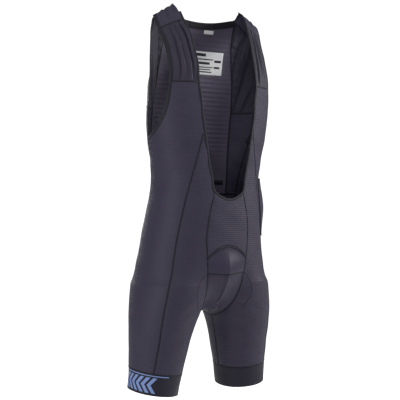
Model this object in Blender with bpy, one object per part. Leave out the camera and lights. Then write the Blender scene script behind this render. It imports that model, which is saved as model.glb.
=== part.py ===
"""Padded bib shorts, worn shape with no wearer: cut panels, gathered mesh straps, cup, bindings and leg bands.

The front faces -Y, the wearer's left is +X, and the origin lies midway between the tops of the two straps.
Every panel is a thin wall on one form, which is worked out from a table of torso and leg sections.
"""

import bpy
import numpy as np

CLOTH = 0.0016
PAD_WALL = 0.0060
BINDING_WIDTH = 0.0060
BINDING_WALL = 0.0022
SEAM_GAP = 0.0002
PAD_GAP = 0.0010
TAPE_WALL = 0.0010
LABEL_WALL = 0.0006
STAND_OFF = 0.0007

# Sections of the torso: height, half width, and the front and back of the section.
TORSO = (
    # height, half_width, front_y, back_y
    (0.000, 0.160, -0.010, -0.010),
    (-0.004, 0.160, -0.022, 0.000),
    (-0.015, 0.160, -0.036, 0.009),
    (-0.045, 0.160, -0.056, 0.022),
    (-0.100, 0.161, -0.084, 0.038),
    (-0.180, 0.162, -0.105, 0.053),
    (-0.250, 0.162, -0.108, 0.068),
    (-0.310, 0.156, -0.107, 0.078),
    (-0.370, 0.143, -0.105, 0.084),
    (-0.425, 0.136, -0.104, 0.092),
    (-0.480, 0.142, -0.104, 0.103),
    (-0.560, 0.154, -0.100, 0.117),
    (-0.620, 0.164, -0.096, 0.121),
    (-0.680, 0.174, -0.090, 0.121),
    (-0.730, 0.175, -0.085, 0.115),
)
# Sections of one leg, square to its axis: height, the middle of the section, and its half sizes.
LEG = (
    # height, centre_x, centre_y, half_width, half_depth
    (-0.560, 0.080, 0.016, 0.070, 0.098),
    (-0.620, 0.084, 0.016, 0.085, 0.106),
    (-0.680, 0.094, 0.014, 0.085, 0.100),
    (-0.725, 0.105, 0.012, 0.081, 0.089),
    (-0.768, 0.114, 0.014, 0.074, 0.079),
    (-0.815, 0.119, 0.018, 0.068, 0.071),
    (-0.876, 0.125, 0.023, 0.062, 0.063),
    (-0.940, 0.132, 0.028, 0.059, 0.059),
)
TORSO_POWER = 2.35
LEG_POWER = 2.1
SHOULDER_SLOPE = 0.55
SLOPE_FROM = 0.095
CROTCH_TOP = -0.600
CROTCH_DROP = 0.130
CROTCH_BLEND = 0.022
LEG_TOP = -0.660
LEG_RISE = 0.35
SPLAY = 0.119
LEAN = 0.098
BODY_AXIS_Y = 0.010

# Heights at which the side panel has a row; its neighbours share them from where they start.
ROWS = (
    -0.193, -0.235, -0.270, -0.295, -0.310, -0.3185, -0.322, -0.360, -0.410, -0.447, -0.475, -0.510,
    -0.550, -0.600, -0.633, -0.655, -0.675, -0.705, -0.728, -0.745, -0.770, -0.800, -0.830, -0.862,
)
BAND_ROWS = (-0.862, -0.887, -0.912)
APEX_ROW, WAIST_ROW, ARCH_ROW, CUP_ROW, CROTCH_ROW = 4, 9, 13, 14, 19

# Seams, as the bearing in degrees round the body from the centre front.
NECKLINE = (
    # height, bearing
    (-0.193, 39.0), (-0.230, 36.5), (-0.261, 35.5), (-0.303, 33.0), (-0.360, 29.5), (-0.410, 25.0), (-0.447, 20.5),
)
FRONT_SEAM = (
    # height, bearing
    (-0.303, 32.8), (-0.374, 40.5), (-0.438, 48.5), (-0.502, 54.5), (-0.577, 60.0), (-0.674, 63.0),
    (-0.762, 68.5), (-0.862, 76.5),
)
CENTRE_SEAM = (
    # height, bearing
    (-0.447, 20.5), (-0.502, 27.0), (-0.550, 29.5), (-0.600, 28.5), (-0.640, 28.0), (-0.690, 30.0),
)
ARMHOLE_FRONT = (
    # height, bearing
    (-0.193, 60.0), (-0.235, 62.0), (-0.270, 66.0), (-0.295, 72.5), (-0.310, 79.0), (-0.3185, 85.5), (-0.322, 91.5),
)
SIDE_SEAM = (
    # height, bearing
    (-0.322, 91.5), (-0.410, 99.0), (-0.475, 105.0), (-0.550, 112.0), (-0.633, 118.0), (-0.705, 118.0),
    (-0.770, 114.0), (-0.862, 108.0),
)
# Distances from the centre line on the back.
ARMHOLE_BACK = (
    # height, distance
    (-0.245, 0.1590), (-0.270, 0.1575), (-0.295, 0.1545), (-0.310, 0.1510), (-0.3185, 0.1475),
)
BACK_SEAM = (
    # height, distance
    (-0.245, 0.118), (-0.270, 0.118), (-0.310, 0.117), (-0.360, 0.114), (-0.410, 0.113), (-0.447, 0.114),
)
BACK_ROWS = (-0.245, -0.270, -0.295, -0.310, -0.3185, -0.322, -0.360, -0.410, -0.447)
# Edges of the strap, from the front seam over the shoulder to the back seam.
STRAP = (
    # inner_z, outer_z, turn_inner, turn_outer, inner_x, outer_x, slope_share
    (-0.155, -0.155, None, None, 0.0865, 0.1395, 0.35),
    (-0.115, -0.115, None, None, 0.0885, 0.1395, 0.70),
    (None, None, 0.0, 0.0, 0.0905, 0.1410, 1.0),
    (None, None, 22.0, 30.0, 0.0935, 0.1430, 1.0),
    (None, None, 42.0, 62.0, 0.0965, 0.1460, 1.0),
    (None, None, 66.0, 76.0, 0.0985, 0.1480, 1.0),
    (None, None, 90.0, 90.0, 0.1000, 0.1490, 1.0),
    (None, None, 112.0, 112.0, 0.1005, 0.1500, 1.0),
    (None, None, 146.0, 146.0, 0.1010, 0.1500, 1.0),
    (None, None, 180.0, 180.0, 0.1020, 0.1530, 1.0),
    (-0.120, -0.120, None, None, 0.1065, 0.1560, 0.70),
    (-0.160, -0.160, None, None, 0.1115, 0.1580, 0.35),
    (-0.205, -0.205, None, None, 0.1155, 0.1592, 0.10),
)
YOKE_FRONT, YOKE_BACK = 4, 7
STRAP_FAN_Z = -0.075
STRAP_FAN_Y = -0.015
STRAP_COLUMNS = 17
SIDE_COLUMNS = 10
THIGH_COLUMNS = 7
BACK_COLUMNS = 9
CENTRE_COLUMNS = 9
BACK_PANEL_COLUMNS = 15
BACK_SIDE_COLUMNS = 4
NECK_BACK_Z = -0.037
NECK_FRONT_Z = -0.464
ARCH_TOP_Z = -0.573
GATHER_DEPTH = 0.0038
GATHERS = 4
MESH_FOLD_DEPTH = 0.0032
CUP_BULGE = 0.0090

# The edge of the gusset from the front, under the crotch, to the centre back seam.
GUSSET = (
    # distance, depth_y, height
    (0.040, -0.066, -0.705),
    (0.034, -0.036, -0.728),
    (0.029, 0.010, -0.742),
    (0.027, 0.058, -0.730),
    (0.021, 0.090, -0.706),
    (0.012, 0.112, -0.675),
    (0.0025, 0.119, -0.655),
)
POCKET_ROWS = (8, 12)
POCKET_COLUMNS = (1, 7)
POCKET_BULGE = 0.015
TAPE_Z = (-0.412, -0.423)
TAPE_HALF = 0.106
LABEL_X = (-0.032, 0.083)
LABEL_Z = (-0.098, -0.154)
TAG_X = (0.018, 0.046)
TAG_Z = (-0.048, -0.057)

COLOURS = {
    # finish: colour, roughness
    "knit": ((0.050, 0.048, 0.066), 0.75),
    "mesh": ((0.044, 0.043, 0.058), 0.70),
    "binding": ((0.012, 0.011, 0.022), 0.80),
    "pad": ((0.045, 0.043, 0.060), 0.60),
    "band": ((0.030, 0.028, 0.042), 0.65),
    "label": ((0.800, 0.800, 0.820), 0.50),
}


def clear_scene():
    """Removes what the scene holds."""
    for thing in list(bpy.data.objects):
        bpy.data.objects.remove(thing)


def curve(table, column, at):
    """A smooth curve with no overshoot through one column of a table whose first column falls."""
    rows = np.array(table, float)[::-1]
    x, y = rows[:, 0], rows[:, column]
    step, rise = np.diff(x), np.diff(y)
    slope = rise / step
    tangent = np.empty_like(y)
    both = slope[1:] * slope[:-1]
    tangent[1:-1] = np.where(both > 0, 2 * both / (slope[1:] + slope[:-1] + 1e-12 * np.sign(slope[1:] + 1e-15)), 0.0)
    tangent[0], tangent[-1] = slope[0], slope[-1]
    at = np.clip(at, x[0], x[-1])
    i = np.clip(np.searchsorted(x, at) - 1, 0, len(step) - 1)
    u = (at - x[i]) / step[i]
    ends = y[i] * (1 + 2 * u) * (1 - u) ** 2 + y[i + 1] * u * u * (3 - 2 * u)
    return ends + step[i] * (tangent[i] * u * (1 - u) ** 2 + tangent[i + 1] * u * u * (u - 1))


def ramp(value, low, high):
    """0 below low, 1 above high, smooth between."""
    u = np.clip((value - low) / (high - low), 0, 1)
    return u * u * (3 - 2 * u)


def shoulder_drop(x):
    """How far the shoulder has fallen at a distance x from the centre line."""
    return SHOULDER_SLOPE * np.maximum(np.abs(x) - SLOPE_FROM, 0)


def oval(dx, dy, half_x, half_y, power):
    """Signed distance, along the ray from the middle, to a superellipse."""
    size = ((np.abs(dx) / half_x) ** power + (np.abs(dy) / half_y) ** power + 1e-12) ** (1 / power)
    reach = np.hypot(dx, dy) + 1e-9
    return reach - reach / size


def form(point):
    """The figure's surface is where this is 0: torso and legs, joined by a smooth blend at the crotch."""
    x, y, z = point[..., 0], point[..., 1], point[..., 2]
    height = z + shoulder_drop(x) * np.clip((z + 0.20) / 0.10, 0, 1)
    front, back = curve(TORSO, 2, height), curve(TORSO, 3, height)
    half_x, half_y = curve(TORSO, 1, height), np.maximum((back - front) / 2, 0.001)
    fall = np.clip((CROTCH_TOP - z) / CROTCH_DROP, 0, 0.9999)
    close = np.sqrt(np.clip(1 - fall**2, 1e-4, 1))
    torso = oval(x, y - (front + back) / 2, half_x * close, half_y * close, TORSO_POWER)
    torso = torso + 3 * np.maximum(CROTCH_TOP - CROTCH_DROP - z, 0)
    middle_x, middle_y, leg_x, leg_y = (curve(LEG, column, z) for column in (1, 2, 3, 4))
    leg = oval(np.abs(x) - middle_x, y - middle_y, leg_x, leg_y, LEG_POWER)
    leg = leg + LEG_RISE * np.maximum(z - LEG_TOP, 0)
    share = np.maximum(CROTCH_BLEND - np.abs(torso - leg), 0) / CROTCH_BLEND
    return np.minimum(torso, leg) - share**2 * CROTCH_BLEND / 4


def outward(point):
    """The unit normals of the form at points near it."""
    small = 1e-4
    steps = np.eye(3) * small
    slope = np.stack([form(point + s) - form(point - s) for s in steps], axis=-1)
    return slope / np.linalg.norm(slope, axis=-1, keepdims=True)


def settle(point):
    """Moves points near the form onto it, along its slope."""
    small = 1e-4
    for _ in range(12):
        slope = np.stack([form(point + s) - form(point - s) for s in np.eye(3) * small], axis=-1) / (2 * small)
        point = point - slope * (form(point) / np.maximum((slope**2).sum(-1), 0.05))[..., None]
    return point


def hit(start, direction, near, far, steps=60):
    """The first point where the form changes sign along rays from start."""
    start, direction = np.broadcast_arrays(start, direction)
    lengths = np.linspace(near, far, steps)
    values = np.stack([form(start + direction * s) for s in lengths])
    change = np.signbit(values[1:]) != np.signbit(values[:-1])
    first = np.argmax(change, axis=0)
    low, high = lengths[first], lengths[first + 1]
    sign = np.signbit(form(start + direction * low[..., None]))
    for _ in range(30):
        middle = (low + high) / 2
        same = np.signbit(form(start + direction * middle[..., None])) == sign
        low, high = np.where(same, middle, low), np.where(same, high, middle)
    return start + direction * low[..., None]


def tilt(row):
    """How much of the leg's tilt a row has: none above the crotch, all of it at the hem."""
    return ramp(-np.asarray(row, float), 0.70, 0.86)


def plane_slope(row, across, back):
    """The height that a row gains along a direction on a leg."""
    return tilt(row) * (SPLAY * across + LEAN * back)


def middle_of(row):
    """The point that a row's grid fans out from: the body's middle, then the leg's."""
    row = np.asarray(row, float)
    share = ramp(-row, 0.58, 0.76)
    torso_y = (curve(TORSO, 2, row) + curve(TORSO, 3, row)) / 2
    across = share * curve(LEG, 1, row)
    back = (1 - share) * torso_y + share * curve(LEG, 2, row)
    return across, back


def from_outside(row, bearing):
    """Points of the wearer's left half at a bearing from the body's own axis, seen from outside."""
    row, angle = np.broadcast_arrays(np.asarray(row, float), np.radians(bearing))
    leg_x, leg_y = curve(LEG, 1, row), curve(LEG, 2, row)
    across, back = np.sin(angle), -np.cos(angle)
    base = row + plane_slope(row, -leg_x, BODY_AXIS_Y - leg_y)
    start = np.stack([0 * row, 0 * row + BODY_AXIS_Y, base], -1)
    direction = np.stack([across, back, plane_slope(row, across, back)], -1)
    return hit(start + direction * 0.32, -direction, 0.0, 0.30)


def on_back(distance, height):
    """Points of the back at distances from the centre line."""
    distance, height = np.broadcast_arrays(np.asarray(distance, float), np.asarray(height, float))
    start = np.stack([distance, 0 * distance + 0.20, height], -1)
    return hit(start, np.array([0.0, -1.0, 0.0]), 0.0, 0.30)


def on_front(distance, height):
    """Points of the front at distances from the centre line."""
    distance, height = np.broadcast_arrays(np.asarray(distance, float), np.asarray(height, float))
    start = np.stack([distance, 0 * distance - 0.20, height], -1)
    return hit(start, np.array([0.0, 1.0, 0.0]), 0.0, 0.30)


def over_shoulder(distance, turn):
    """Points of the shoulder: turn is 0 at the front, 90 on top and 180 at the back."""
    angle = np.radians(turn)
    base = STRAP_FAN_Z - shoulder_drop(distance)
    start = np.stack([distance, 0 * distance + STRAP_FAN_Y, base], -1)
    direction = np.stack([0 * distance, -np.cos(angle), np.sin(angle)], -1)
    return hit(start, direction, 0.0, 0.16)


def turn_of(point, row):
    """The angle of a point round the middle of its row."""
    across, back = middle_of(row)
    return np.arctan2(point[..., 0] - across, -(point[..., 1] - back))


def between(first, last, row, columns):
    """A row of points from first to last, fanned out round the middle of the row."""
    a, b = turn_of(first, row), turn_of(last, row)
    if b < a:
        b += 2 * np.pi
    angle = np.linspace(a, b, columns)
    across, back = middle_of(row)
    leg_x, leg_y = curve(LEG, 1, row), curve(LEG, 2, row)
    base = row + plane_slope(row, across - leg_x, back - leg_y)
    start = np.array([across, back, base])
    run, deep = np.sin(angle), -np.cos(angle)
    direction = np.stack([run, deep, plane_slope(row, run, deep)], -1)
    points = hit(start, direction, 0.0, 0.26)
    points[0], points[-1] = first, last
    return points


def stack(firsts, lasts, rows, columns):
    """A grid of rows between two edges."""
    return np.array([between(a, b, r, columns) for a, b, r in zip(firsts, lasts, rows)])


def trimmed(grid, closed=False, gap=SEAM_GAP):
    """The grid with its edges drawn in by the gap at the seams."""
    grid = grid.copy()
    for axis in (0,) if closed else (0, 1):
        line = np.moveaxis(grid, axis, 0)
        for edge, inner in ((0, 1), (-1, -2)):
            step = line[inner] - line[edge]
            line[edge] += gap * step / np.linalg.norm(step, axis=-1, keepdims=True)
    return grid


def faces_of(rows, columns, closed):
    """Quads of a wall: its outside, its inside and its rim."""
    count = rows * columns
    span = columns if closed else columns - 1
    r, c = np.meshgrid(np.arange(rows - 1), np.arange(span), indexing="ij")
    r, c = r.ravel(), c.ravel()
    a, b = r * columns + c, r * columns + (c + 1) % columns
    outside = np.stack([a, b, b + columns, a + columns], 1)
    inside = outside[:, ::-1] + count
    rims = []
    c = np.arange(span)
    n = (c + 1) % columns
    top, last = 0, (rows - 1) * columns
    rims.append(np.stack([top + n, top + c, top + c + count, top + n + count], 1))
    rims.append(np.stack([last + c, last + n, last + n + count, last + c + count], 1))
    if not closed:
        r = np.arange(rows - 1) * columns
        rims.append(np.stack([r, r + columns, r + columns + count, r + count], 1))
        end = r + columns - 1
        rims.append(np.stack([end + columns, end, end + count, end + columns + count], 1))
    return np.concatenate([outside, inside, *rims])


def finish_of(name):
    """The plain material of a finish."""
    if name in bpy.data.materials:
        return bpy.data.materials[name]
    colour, roughness = COLOURS[name]
    material = bpy.data.materials.new(name)
    material.use_nodes = True
    shader = material.node_tree.nodes["Principled BSDF"]
    shader.inputs["Base Color"].default_value = (*colour, 1.0)
    shader.inputs["Roughness"].default_value = roughness
    shader.inputs["Metallic"].default_value = 0.0
    return material


def add_solid(name, points, faces, finish, mirrored):
    """An object of points and quads whose faces are turned to point outwards."""
    points = np.array(points, float)
    if mirrored:
        points[:, 0] *= -1
        faces = faces[:, ::-1]
    a, b, c, d = (points[faces[:, k]] for k in range(4))
    volume = (np.einsum("ij,ij->i", a, np.cross(b, c)) + np.einsum("ij,ij->i", a, np.cross(c, d))).sum()
    if volume < 0:
        faces = faces[:, ::-1]
    mesh = bpy.data.meshes.new(name)
    mesh.from_pydata(points.tolist(), [], faces.tolist())
    mesh.shade_smooth()
    mesh.materials.append(finish_of(finish))
    thing = bpy.data.objects.new(name, mesh)
    bpy.context.scene.collection.objects.link(thing)
    return thing


def wall(name, grid, finish, raise_by=0.0, thickness=CLOTH, closed=False, mirrored=False, gap=SEAM_GAP):
    """A cloth wall on a grid of points of the form, raised by some height and thickened inwards."""
    edge = trimmed(grid, closed, gap)
    normal = outward(edge)
    outside = edge + normal * np.asarray(raise_by, float)[..., None]
    inside = edge + normal * (np.asarray(raise_by, float) - np.asarray(thickness, float))[..., None]
    rows, columns = grid.shape[:2]
    points = np.concatenate([outside.reshape(-1, 3), inside.reshape(-1, 3)])
    return add_solid(name, points, faces_of(rows, columns, closed), finish, mirrored)


def binding(name, edge, opening, finish="binding", closed=False, mirrored=False):
    """A folded strip along an open edge, from the seam gap towards a point of the opening."""
    normal = outward(edge)
    if closed:
        along = np.roll(edge, -1, 0) - np.roll(edge, 1, 0)
    else:
        along = np.gradient(edge, axis=0)
    along /= np.linalg.norm(along, axis=-1, keepdims=True)
    away = np.cross(along, normal)
    away /= np.linalg.norm(away, axis=-1, keepdims=True)
    away *= -1.0 if ((opening - edge) * away).sum() < 0 else 1.0
    low, high = 0.0003 - BINDING_WALL, 0.0003
    corners = ((2 * SEAM_GAP, high), (BINDING_WIDTH, high - 0.0003), (BINDING_WIDTH, low + 0.0003), (2 * SEAM_GAP, low))
    ring = np.stack([edge + away * a + normal * n for a, n in corners], 1)
    count = len(edge)
    r = np.arange(count if closed else count - 1)
    n = (r + 1) % count
    faces = [np.stack([r * 4 + k, r * 4 + (k + 1) % 4, n * 4 + (k + 1) % 4, n * 4 + k], 1) for k in range(4)]
    if not closed:
        faces.append(np.array([[3, 2, 1, 0], [4 * count - 4, 4 * count - 3, 4 * count - 2, 4 * count - 1]]))
    return add_solid(name, ring.reshape(-1, 3), np.concatenate(faces), finish, mirrored)


def seam_points(table, rows):
    """Points along a seam that is stated by bearings."""
    rows = np.array(rows)
    return from_outside(rows, curve(table, 1, rows))


def gusset_edge():
    """The gusset's edge, from the front to the centre back, on the form."""
    return settle(np.array(GUSSET))


def inseam_points(rows):
    """Points down the inner side of the leg."""
    points = []
    for row in rows:
        across, back = middle_of(row)
        leg_x, leg_y = curve(LEG, 1, row), curve(LEG, 2, row)
        start = np.array([across, back, row + plane_slope(row, across - leg_x, back - leg_y)])
        direction = np.array([-1.0, 0.0, plane_slope(row, -1.0, 0.0)])
        points.append(hit(start, direction, 0.0, 0.14))
    return np.array(points)


def side_edges():
    """The front and back edges of the side panel."""
    rows = np.array(ROWS)
    front = np.concatenate([seam_points(NECKLINE, rows[:APEX_ROW]), seam_points(FRONT_SEAM, rows[APEX_ROW:])])
    back = np.concatenate([seam_points(ARMHOLE_FRONT, rows[:7]), seam_points(SIDE_SEAM, rows[7:])])
    return front, back


def thigh_inner_edge():
    """The inner edge of the front thigh panel: neckline, centre seam, gusset, inseam."""
    rows = np.array(ROWS)
    neck = seam_points(NECKLINE, rows[APEX_ROW:WAIST_ROW])
    centre = seam_points(CENTRE_SEAM, rows[WAIST_ROW:17])
    return np.concatenate([neck, centre, gusset_edge()[:3], inseam_points(rows[CROTCH_ROW + 1:])])


def back_inner_edge():
    """The inner edge of the back leg panel: centre back seam, gusset, inseam."""
    rows = np.array(ROWS)
    centre = on_back(0 * rows[WAIST_ROW:15], rows[WAIST_ROW:15])
    under = gusset_edge()[::-1][:5]
    return np.concatenate([centre, under, inseam_points(rows[CROTCH_ROW + 1:])])


def strap_rows():
    """Rows of the strap from the front seam, over the shoulder, to the back seam."""
    side_top = stack(*(edge[:1] for edge in side_edges()), ROWS[:1], STRAP_COLUMNS)[0]
    found = [side_top]
    share = np.linspace(0, 1, STRAP_COLUMNS)
    for number, (z, _, turn_in, turn_out, x_in, x_out, slope) in enumerate(STRAP):
        x = x_in + (x_out - x_in) * share
        if turn_in is not None:
            found.append(over_shoulder(x, turn_in + (turn_out - turn_in) * share))
        else:
            height = z - slope * shoulder_drop(x)
            found.append((on_front if number < YOKE_FRONT else on_back)(x, height))
    x_in, x_out = curve(BACK_SEAM, 1, BACK_ROWS[0]), curve(ARMHOLE_BACK, 1, BACK_ROWS[0])
    found.append(on_back(x_in + (x_out - x_in) * share, BACK_ROWS[0]))
    return np.array(found)


def fade(rows, columns):
    """A window that is 0 on a grid's edges and 1 inside."""
    v, u = np.meshgrid(np.linspace(0, 1, rows), np.linspace(0, 1, columns), indexing="ij")
    return np.sqrt(np.sin(np.pi * u) * np.sin(np.pi * v).clip(0)), u, v


def gathers(rows, columns):
    """Heights of the gathers that run down the front strap."""
    window, u, v = fade(rows, columns)
    return window * GATHER_DEPTH * np.sin(2 * np.pi * GATHERS * (u + 0.05 * v))


def slack(rows, columns, lean):
    """Heights of the slanting folds of the slack mesh at the back."""
    window, u, v = fade(rows, columns)
    return window * MESH_FOLD_DEPTH * np.sin(2 * np.pi * (2.2 * u - lean * 2.4 * v))


def make_shoulders():
    """The gathered strap, the yoke and the slack mesh of each shoulder."""
    rows = strap_rows()
    front, yoke, back = rows[:YOKE_FRONT + 2], rows[YOKE_FRONT + 1:YOKE_BACK + 2], rows[YOKE_BACK + 1:]
    for side, mirrored in (("left", False), ("right", True)):
        lean = -1 if mirrored else 1
        wall(f"strap_front_{side}", front, "mesh", gathers(*front.shape[:2]), mirrored=mirrored)
        wall(f"shoulder_yoke_{side}", yoke, "knit", mirrored=mirrored)
        wall(f"back_mesh_{side}", back, "mesh", slack(*back.shape[:2], lean), mirrored=mirrored)
    return rows


def back_panel_grid(rows):
    """The centre back panel: its side edges are the inner edges of the mesh and of the back side panels."""
    mesh_edge = rows[YOKE_BACK + 1:, 0]
    lower = on_back(curve(BACK_SEAM, 1, np.array(BACK_ROWS[1:])), BACK_ROWS[1:])
    edge = np.concatenate([mesh_edge, lower])
    share = np.linspace(-1, 1, BACK_PANEL_COLUMNS)
    grid = []
    for number, point in enumerate(edge):
        sag = (NECK_BACK_Z - point[2]) * (1 - share**2) if number == 0 else 0 * share
        line = on_back(point[0] * share, point[2] + sag)
        line[0], line[-1] = point * (-1, 1, 1), point
        grid.append(line)
    return np.array(grid)


def make_back(rows):
    """The centre back panel, the back side panels, and what lies on the inside of the back."""
    grid = back_panel_grid(rows)
    wall("back_panel", grid, "mesh")
    heights = np.array(BACK_ROWS)
    inner = on_back(curve(BACK_SEAM, 1, heights), heights)
    outer = np.concatenate([
        on_back(curve(ARMHOLE_BACK, 1, heights[:5]), heights[:5]),
        seam_points(SIDE_SEAM, heights[5:]),
    ])
    share = np.linspace(0, 1, STRAP_COLUMNS)[::STRAP_COLUMNS // BACK_SIDE_COLUMNS]
    lines = [on_back(a[0] + (b[0] - a[0]) * share, a[2]) for a, b in zip(inner[:6], outer[:6])]
    side = np.array(lines + [between(b, a, h, len(share))[::-1] for a, b, h in zip(inner[6:], outer[6:], heights[6:])])
    side[5:, -1] = outer[5:]
    for name, mirrored in (("left", False), ("right", True)):
        wall(f"back_side_{name}", side, "knit", mirrored=mirrored)
    return grid, side


def inside_patch(name, x_range, z_range, columns, rows, finish, depth, thickness):
    """A thin piece on the inside of the back."""
    x, z = np.meshgrid(np.linspace(*x_range, columns), np.linspace(*z_range, rows))
    wall(name, on_back(x, z), finish, raise_by=np.full(x.shape, -depth), thickness=thickness)


def make_inside():
    """The elastic tape, the printed care panel and the size tag on the inside of the back."""
    depth = CLOTH + STAND_OFF
    inside_patch("back_tape", (-TAPE_HALF, TAPE_HALF), TAPE_Z, 15, 2, "binding", depth, TAPE_WALL)
    inside_patch("care_label", LABEL_X, LABEL_Z, 9, 4, "label", depth, LABEL_WALL)
    inside_patch("size_tag", TAG_X, TAG_Z, 3, 2, "label", depth, LABEL_WALL)


def make_side():
    """The side panel of each half, from the top of the bib to the leg band, and the pocket on the left one."""
    front, back = side_edges()
    grid = stack(front, back, ROWS, SIDE_COLUMNS)
    for name, mirrored in (("left", False), ("right", True)):
        wall(f"side_{name}", grid, "knit", mirrored=mirrored)
    (first, last), (left, right) = POCKET_ROWS, POCKET_COLUMNS
    patch = grid[first:last + 1, left:right + 1]
    v, u = np.meshgrid(np.linspace(0, 1, patch.shape[0]), np.linspace(0, 1, patch.shape[1]), indexing="ij")
    swell = np.sin(np.pi * u).clip(0) * np.sin(np.pi * (0.10 + 0.90 * v) ** 1.25).clip(0)
    lift = STAND_OFF + CLOTH + POCKET_BULGE * swell
    wall("hip_pocket_left", patch, "band", raise_by=lift)
    return grid


def make_legs():
    """The front thigh and back leg panels of each half, and the ring of each leg band."""
    side_front, side_back = side_edges()
    rows = np.array(ROWS)
    thigh = stack(thigh_inner_edge(), side_front[APEX_ROW:], rows[APEX_ROW:], THIGH_COLUMNS)
    back = stack(side_back[WAIST_ROW:], back_inner_edge(), rows[WAIST_ROW:], BACK_COLUMNS)
    side = stack(side_front, side_back, rows, SIDE_COLUMNS)
    ring = np.concatenate([thigh[-1, :-1], side[-1, :-1], back[-1, :-1]])
    angle = turn_of(ring, BAND_ROWS[0])
    band = []
    for row in BAND_ROWS:
        across, deep = middle_of(row)
        direction = np.stack([np.sin(angle), -np.cos(angle), plane_slope(row, np.sin(angle), -np.cos(angle))], -1)
        band.append(hit(np.array([across, deep, row]), direction, 0.0, 0.14))
    for name, mirrored in (("left", False), ("right", True)):
        wall(f"front_thigh_{name}", thigh, "knit", mirrored=mirrored)
        wall(f"back_leg_{name}", back, "knit", mirrored=mirrored)
        wall(f"leg_band_{name}", np.array(band), "band", closed=True, mirrored=mirrored)
    return thigh


def across_front(edge_point, height, columns=CENTRE_COLUMNS):
    """A row of the centre front between its two mirrored edge points."""
    share = np.linspace(-1, 1, columns)
    x = edge_point[0] * share
    z = edge_point[2] + (height - edge_point[2]) * (1 - share**2)
    line = on_front(x, z)
    line[0], line[-1] = edge_point * (-1, 1, 1), edge_point
    return line


def make_centre():
    """The centre front, the cup in two pieces, and the gusset that runs under the crotch."""
    rows = np.array(ROWS)
    edge = seam_points(CENTRE_SEAM, rows[WAIST_ROW:17])
    top = across_front(edge[0], NECK_FRONT_Z)
    plain = [across_front(p, p[2]) for p in edge[1:4]]
    arch = across_front(edge[4], ARCH_TOP_Z)
    wall("centre_front", np.array([top, *plain, arch]), "knit")
    low_arch = [across_front(edge[4] * (1 - s) + edge[5] * s, ARCH_TOP_Z * (1 - s) + edge[5][2] * s) for s in (0.33, 0.67)]
    upper = np.array([arch, *(settle(line) for line in low_arch), across_front(edge[5], edge[5][2])])
    window, u, v = fade(*upper.shape[:2])
    swell = CUP_BULGE * np.sin(np.pi * u) ** 0.8 * ramp(v, 0.0, 1.0)
    thick = CLOTH + (PAD_WALL - CLOTH) * (np.sin(np.pi * u) * ramp(v, 0.0, 0.7)) ** 0.5
    wall("cup_upper", upper, "pad", raise_by=swell, thickness=thick, gap=PAD_GAP)
    lower = [upper[-1], across_front(edge[6], edge[6][2]), across_front(edge[7], edge[7][2])]
    share = np.linspace(-1, 1, CENTRE_COLUMNS)[:, None]
    for point in gusset_edge():
        line = point * np.concatenate([share, np.ones_like(share), np.ones_like(share)], 1)
        line = settle(line + (0, 0, -0.006) * (1 - share**2))
        line[0], line[-1] = point * (-1, 1, 1), point
        lower.append(line)
    lower = np.array(lower)
    window, u, v = fade(*lower.shape[:2])
    swell = CUP_BULGE * np.sin(np.pi * u) ** 0.8 * (1 - ramp(v, 0.0, 0.55))
    thick = CLOTH + (PAD_WALL - CLOTH) * (np.sin(np.pi * u) * (1 - ramp(v, 0.6, 1.0))) ** 0.5
    wall("gusset", lower, "pad", raise_by=swell, thickness=thick, gap=PAD_GAP)
    return top


def make_bindings(straps, side, thigh, back, back_side, neck_front):
    """The folded edges of the neckline and of the armholes."""
    strap_inner, strap_outer = straps[:, 0], straps[:, -1]
    down = np.concatenate([strap_inner[YOKE_FRONT + 2:0:-1], side[:APEX_ROW, 0], thigh[:WAIST_ROW - APEX_ROW, 0]])
    mirrored_down = down * (-1, 1, 1)
    front = np.concatenate([mirrored_down, neck_front, down[::-1]])
    binding("neck_binding_front", front, np.array([0.0, -0.05, -0.20]))
    neck_back = np.concatenate([
        (strap_inner[YOKE_FRONT + 3:YOKE_BACK + 1] * (-1, 1, 1)), back[0], strap_inner[YOKE_BACK:YOKE_FRONT + 2:-1],
    ])
    binding("neck_binding_back", neck_back, np.array([0.0, 0.00, 0.05]))
    hole = np.concatenate([
        strap_outer[YOKE_FRONT + 2:0:-1], side[:7, -1], back_side[:5, -1][::-1],
        strap_outer[-2:YOKE_BACK - 1:-1], strap_outer[YOKE_BACK - 1:YOKE_FRONT + 2:-1],
    ])
    for name, mirrored in (("left", False), ("right", True)):
        binding(f"armhole_binding_{name}", hole, np.array([0.16, -0.02, -0.20]), closed=True, mirrored=mirrored)


def main():
    """Builds every piece of the garment."""
    clear_scene()
    straps = make_shoulders()
    back, back_side = make_back(straps)
    side = make_side()
    thigh = make_legs()
    neck_front = make_centre()
    make_inside()
    make_bindings(straps, side, thigh, back, back_side, neck_front)


main()
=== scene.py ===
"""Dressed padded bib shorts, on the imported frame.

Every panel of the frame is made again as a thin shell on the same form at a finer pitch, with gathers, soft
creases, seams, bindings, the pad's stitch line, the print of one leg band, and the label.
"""

from __future__ import annotations

import logging
import math
from collections.abc import Callable
from dataclasses import dataclass, field
from enum import Enum

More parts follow.
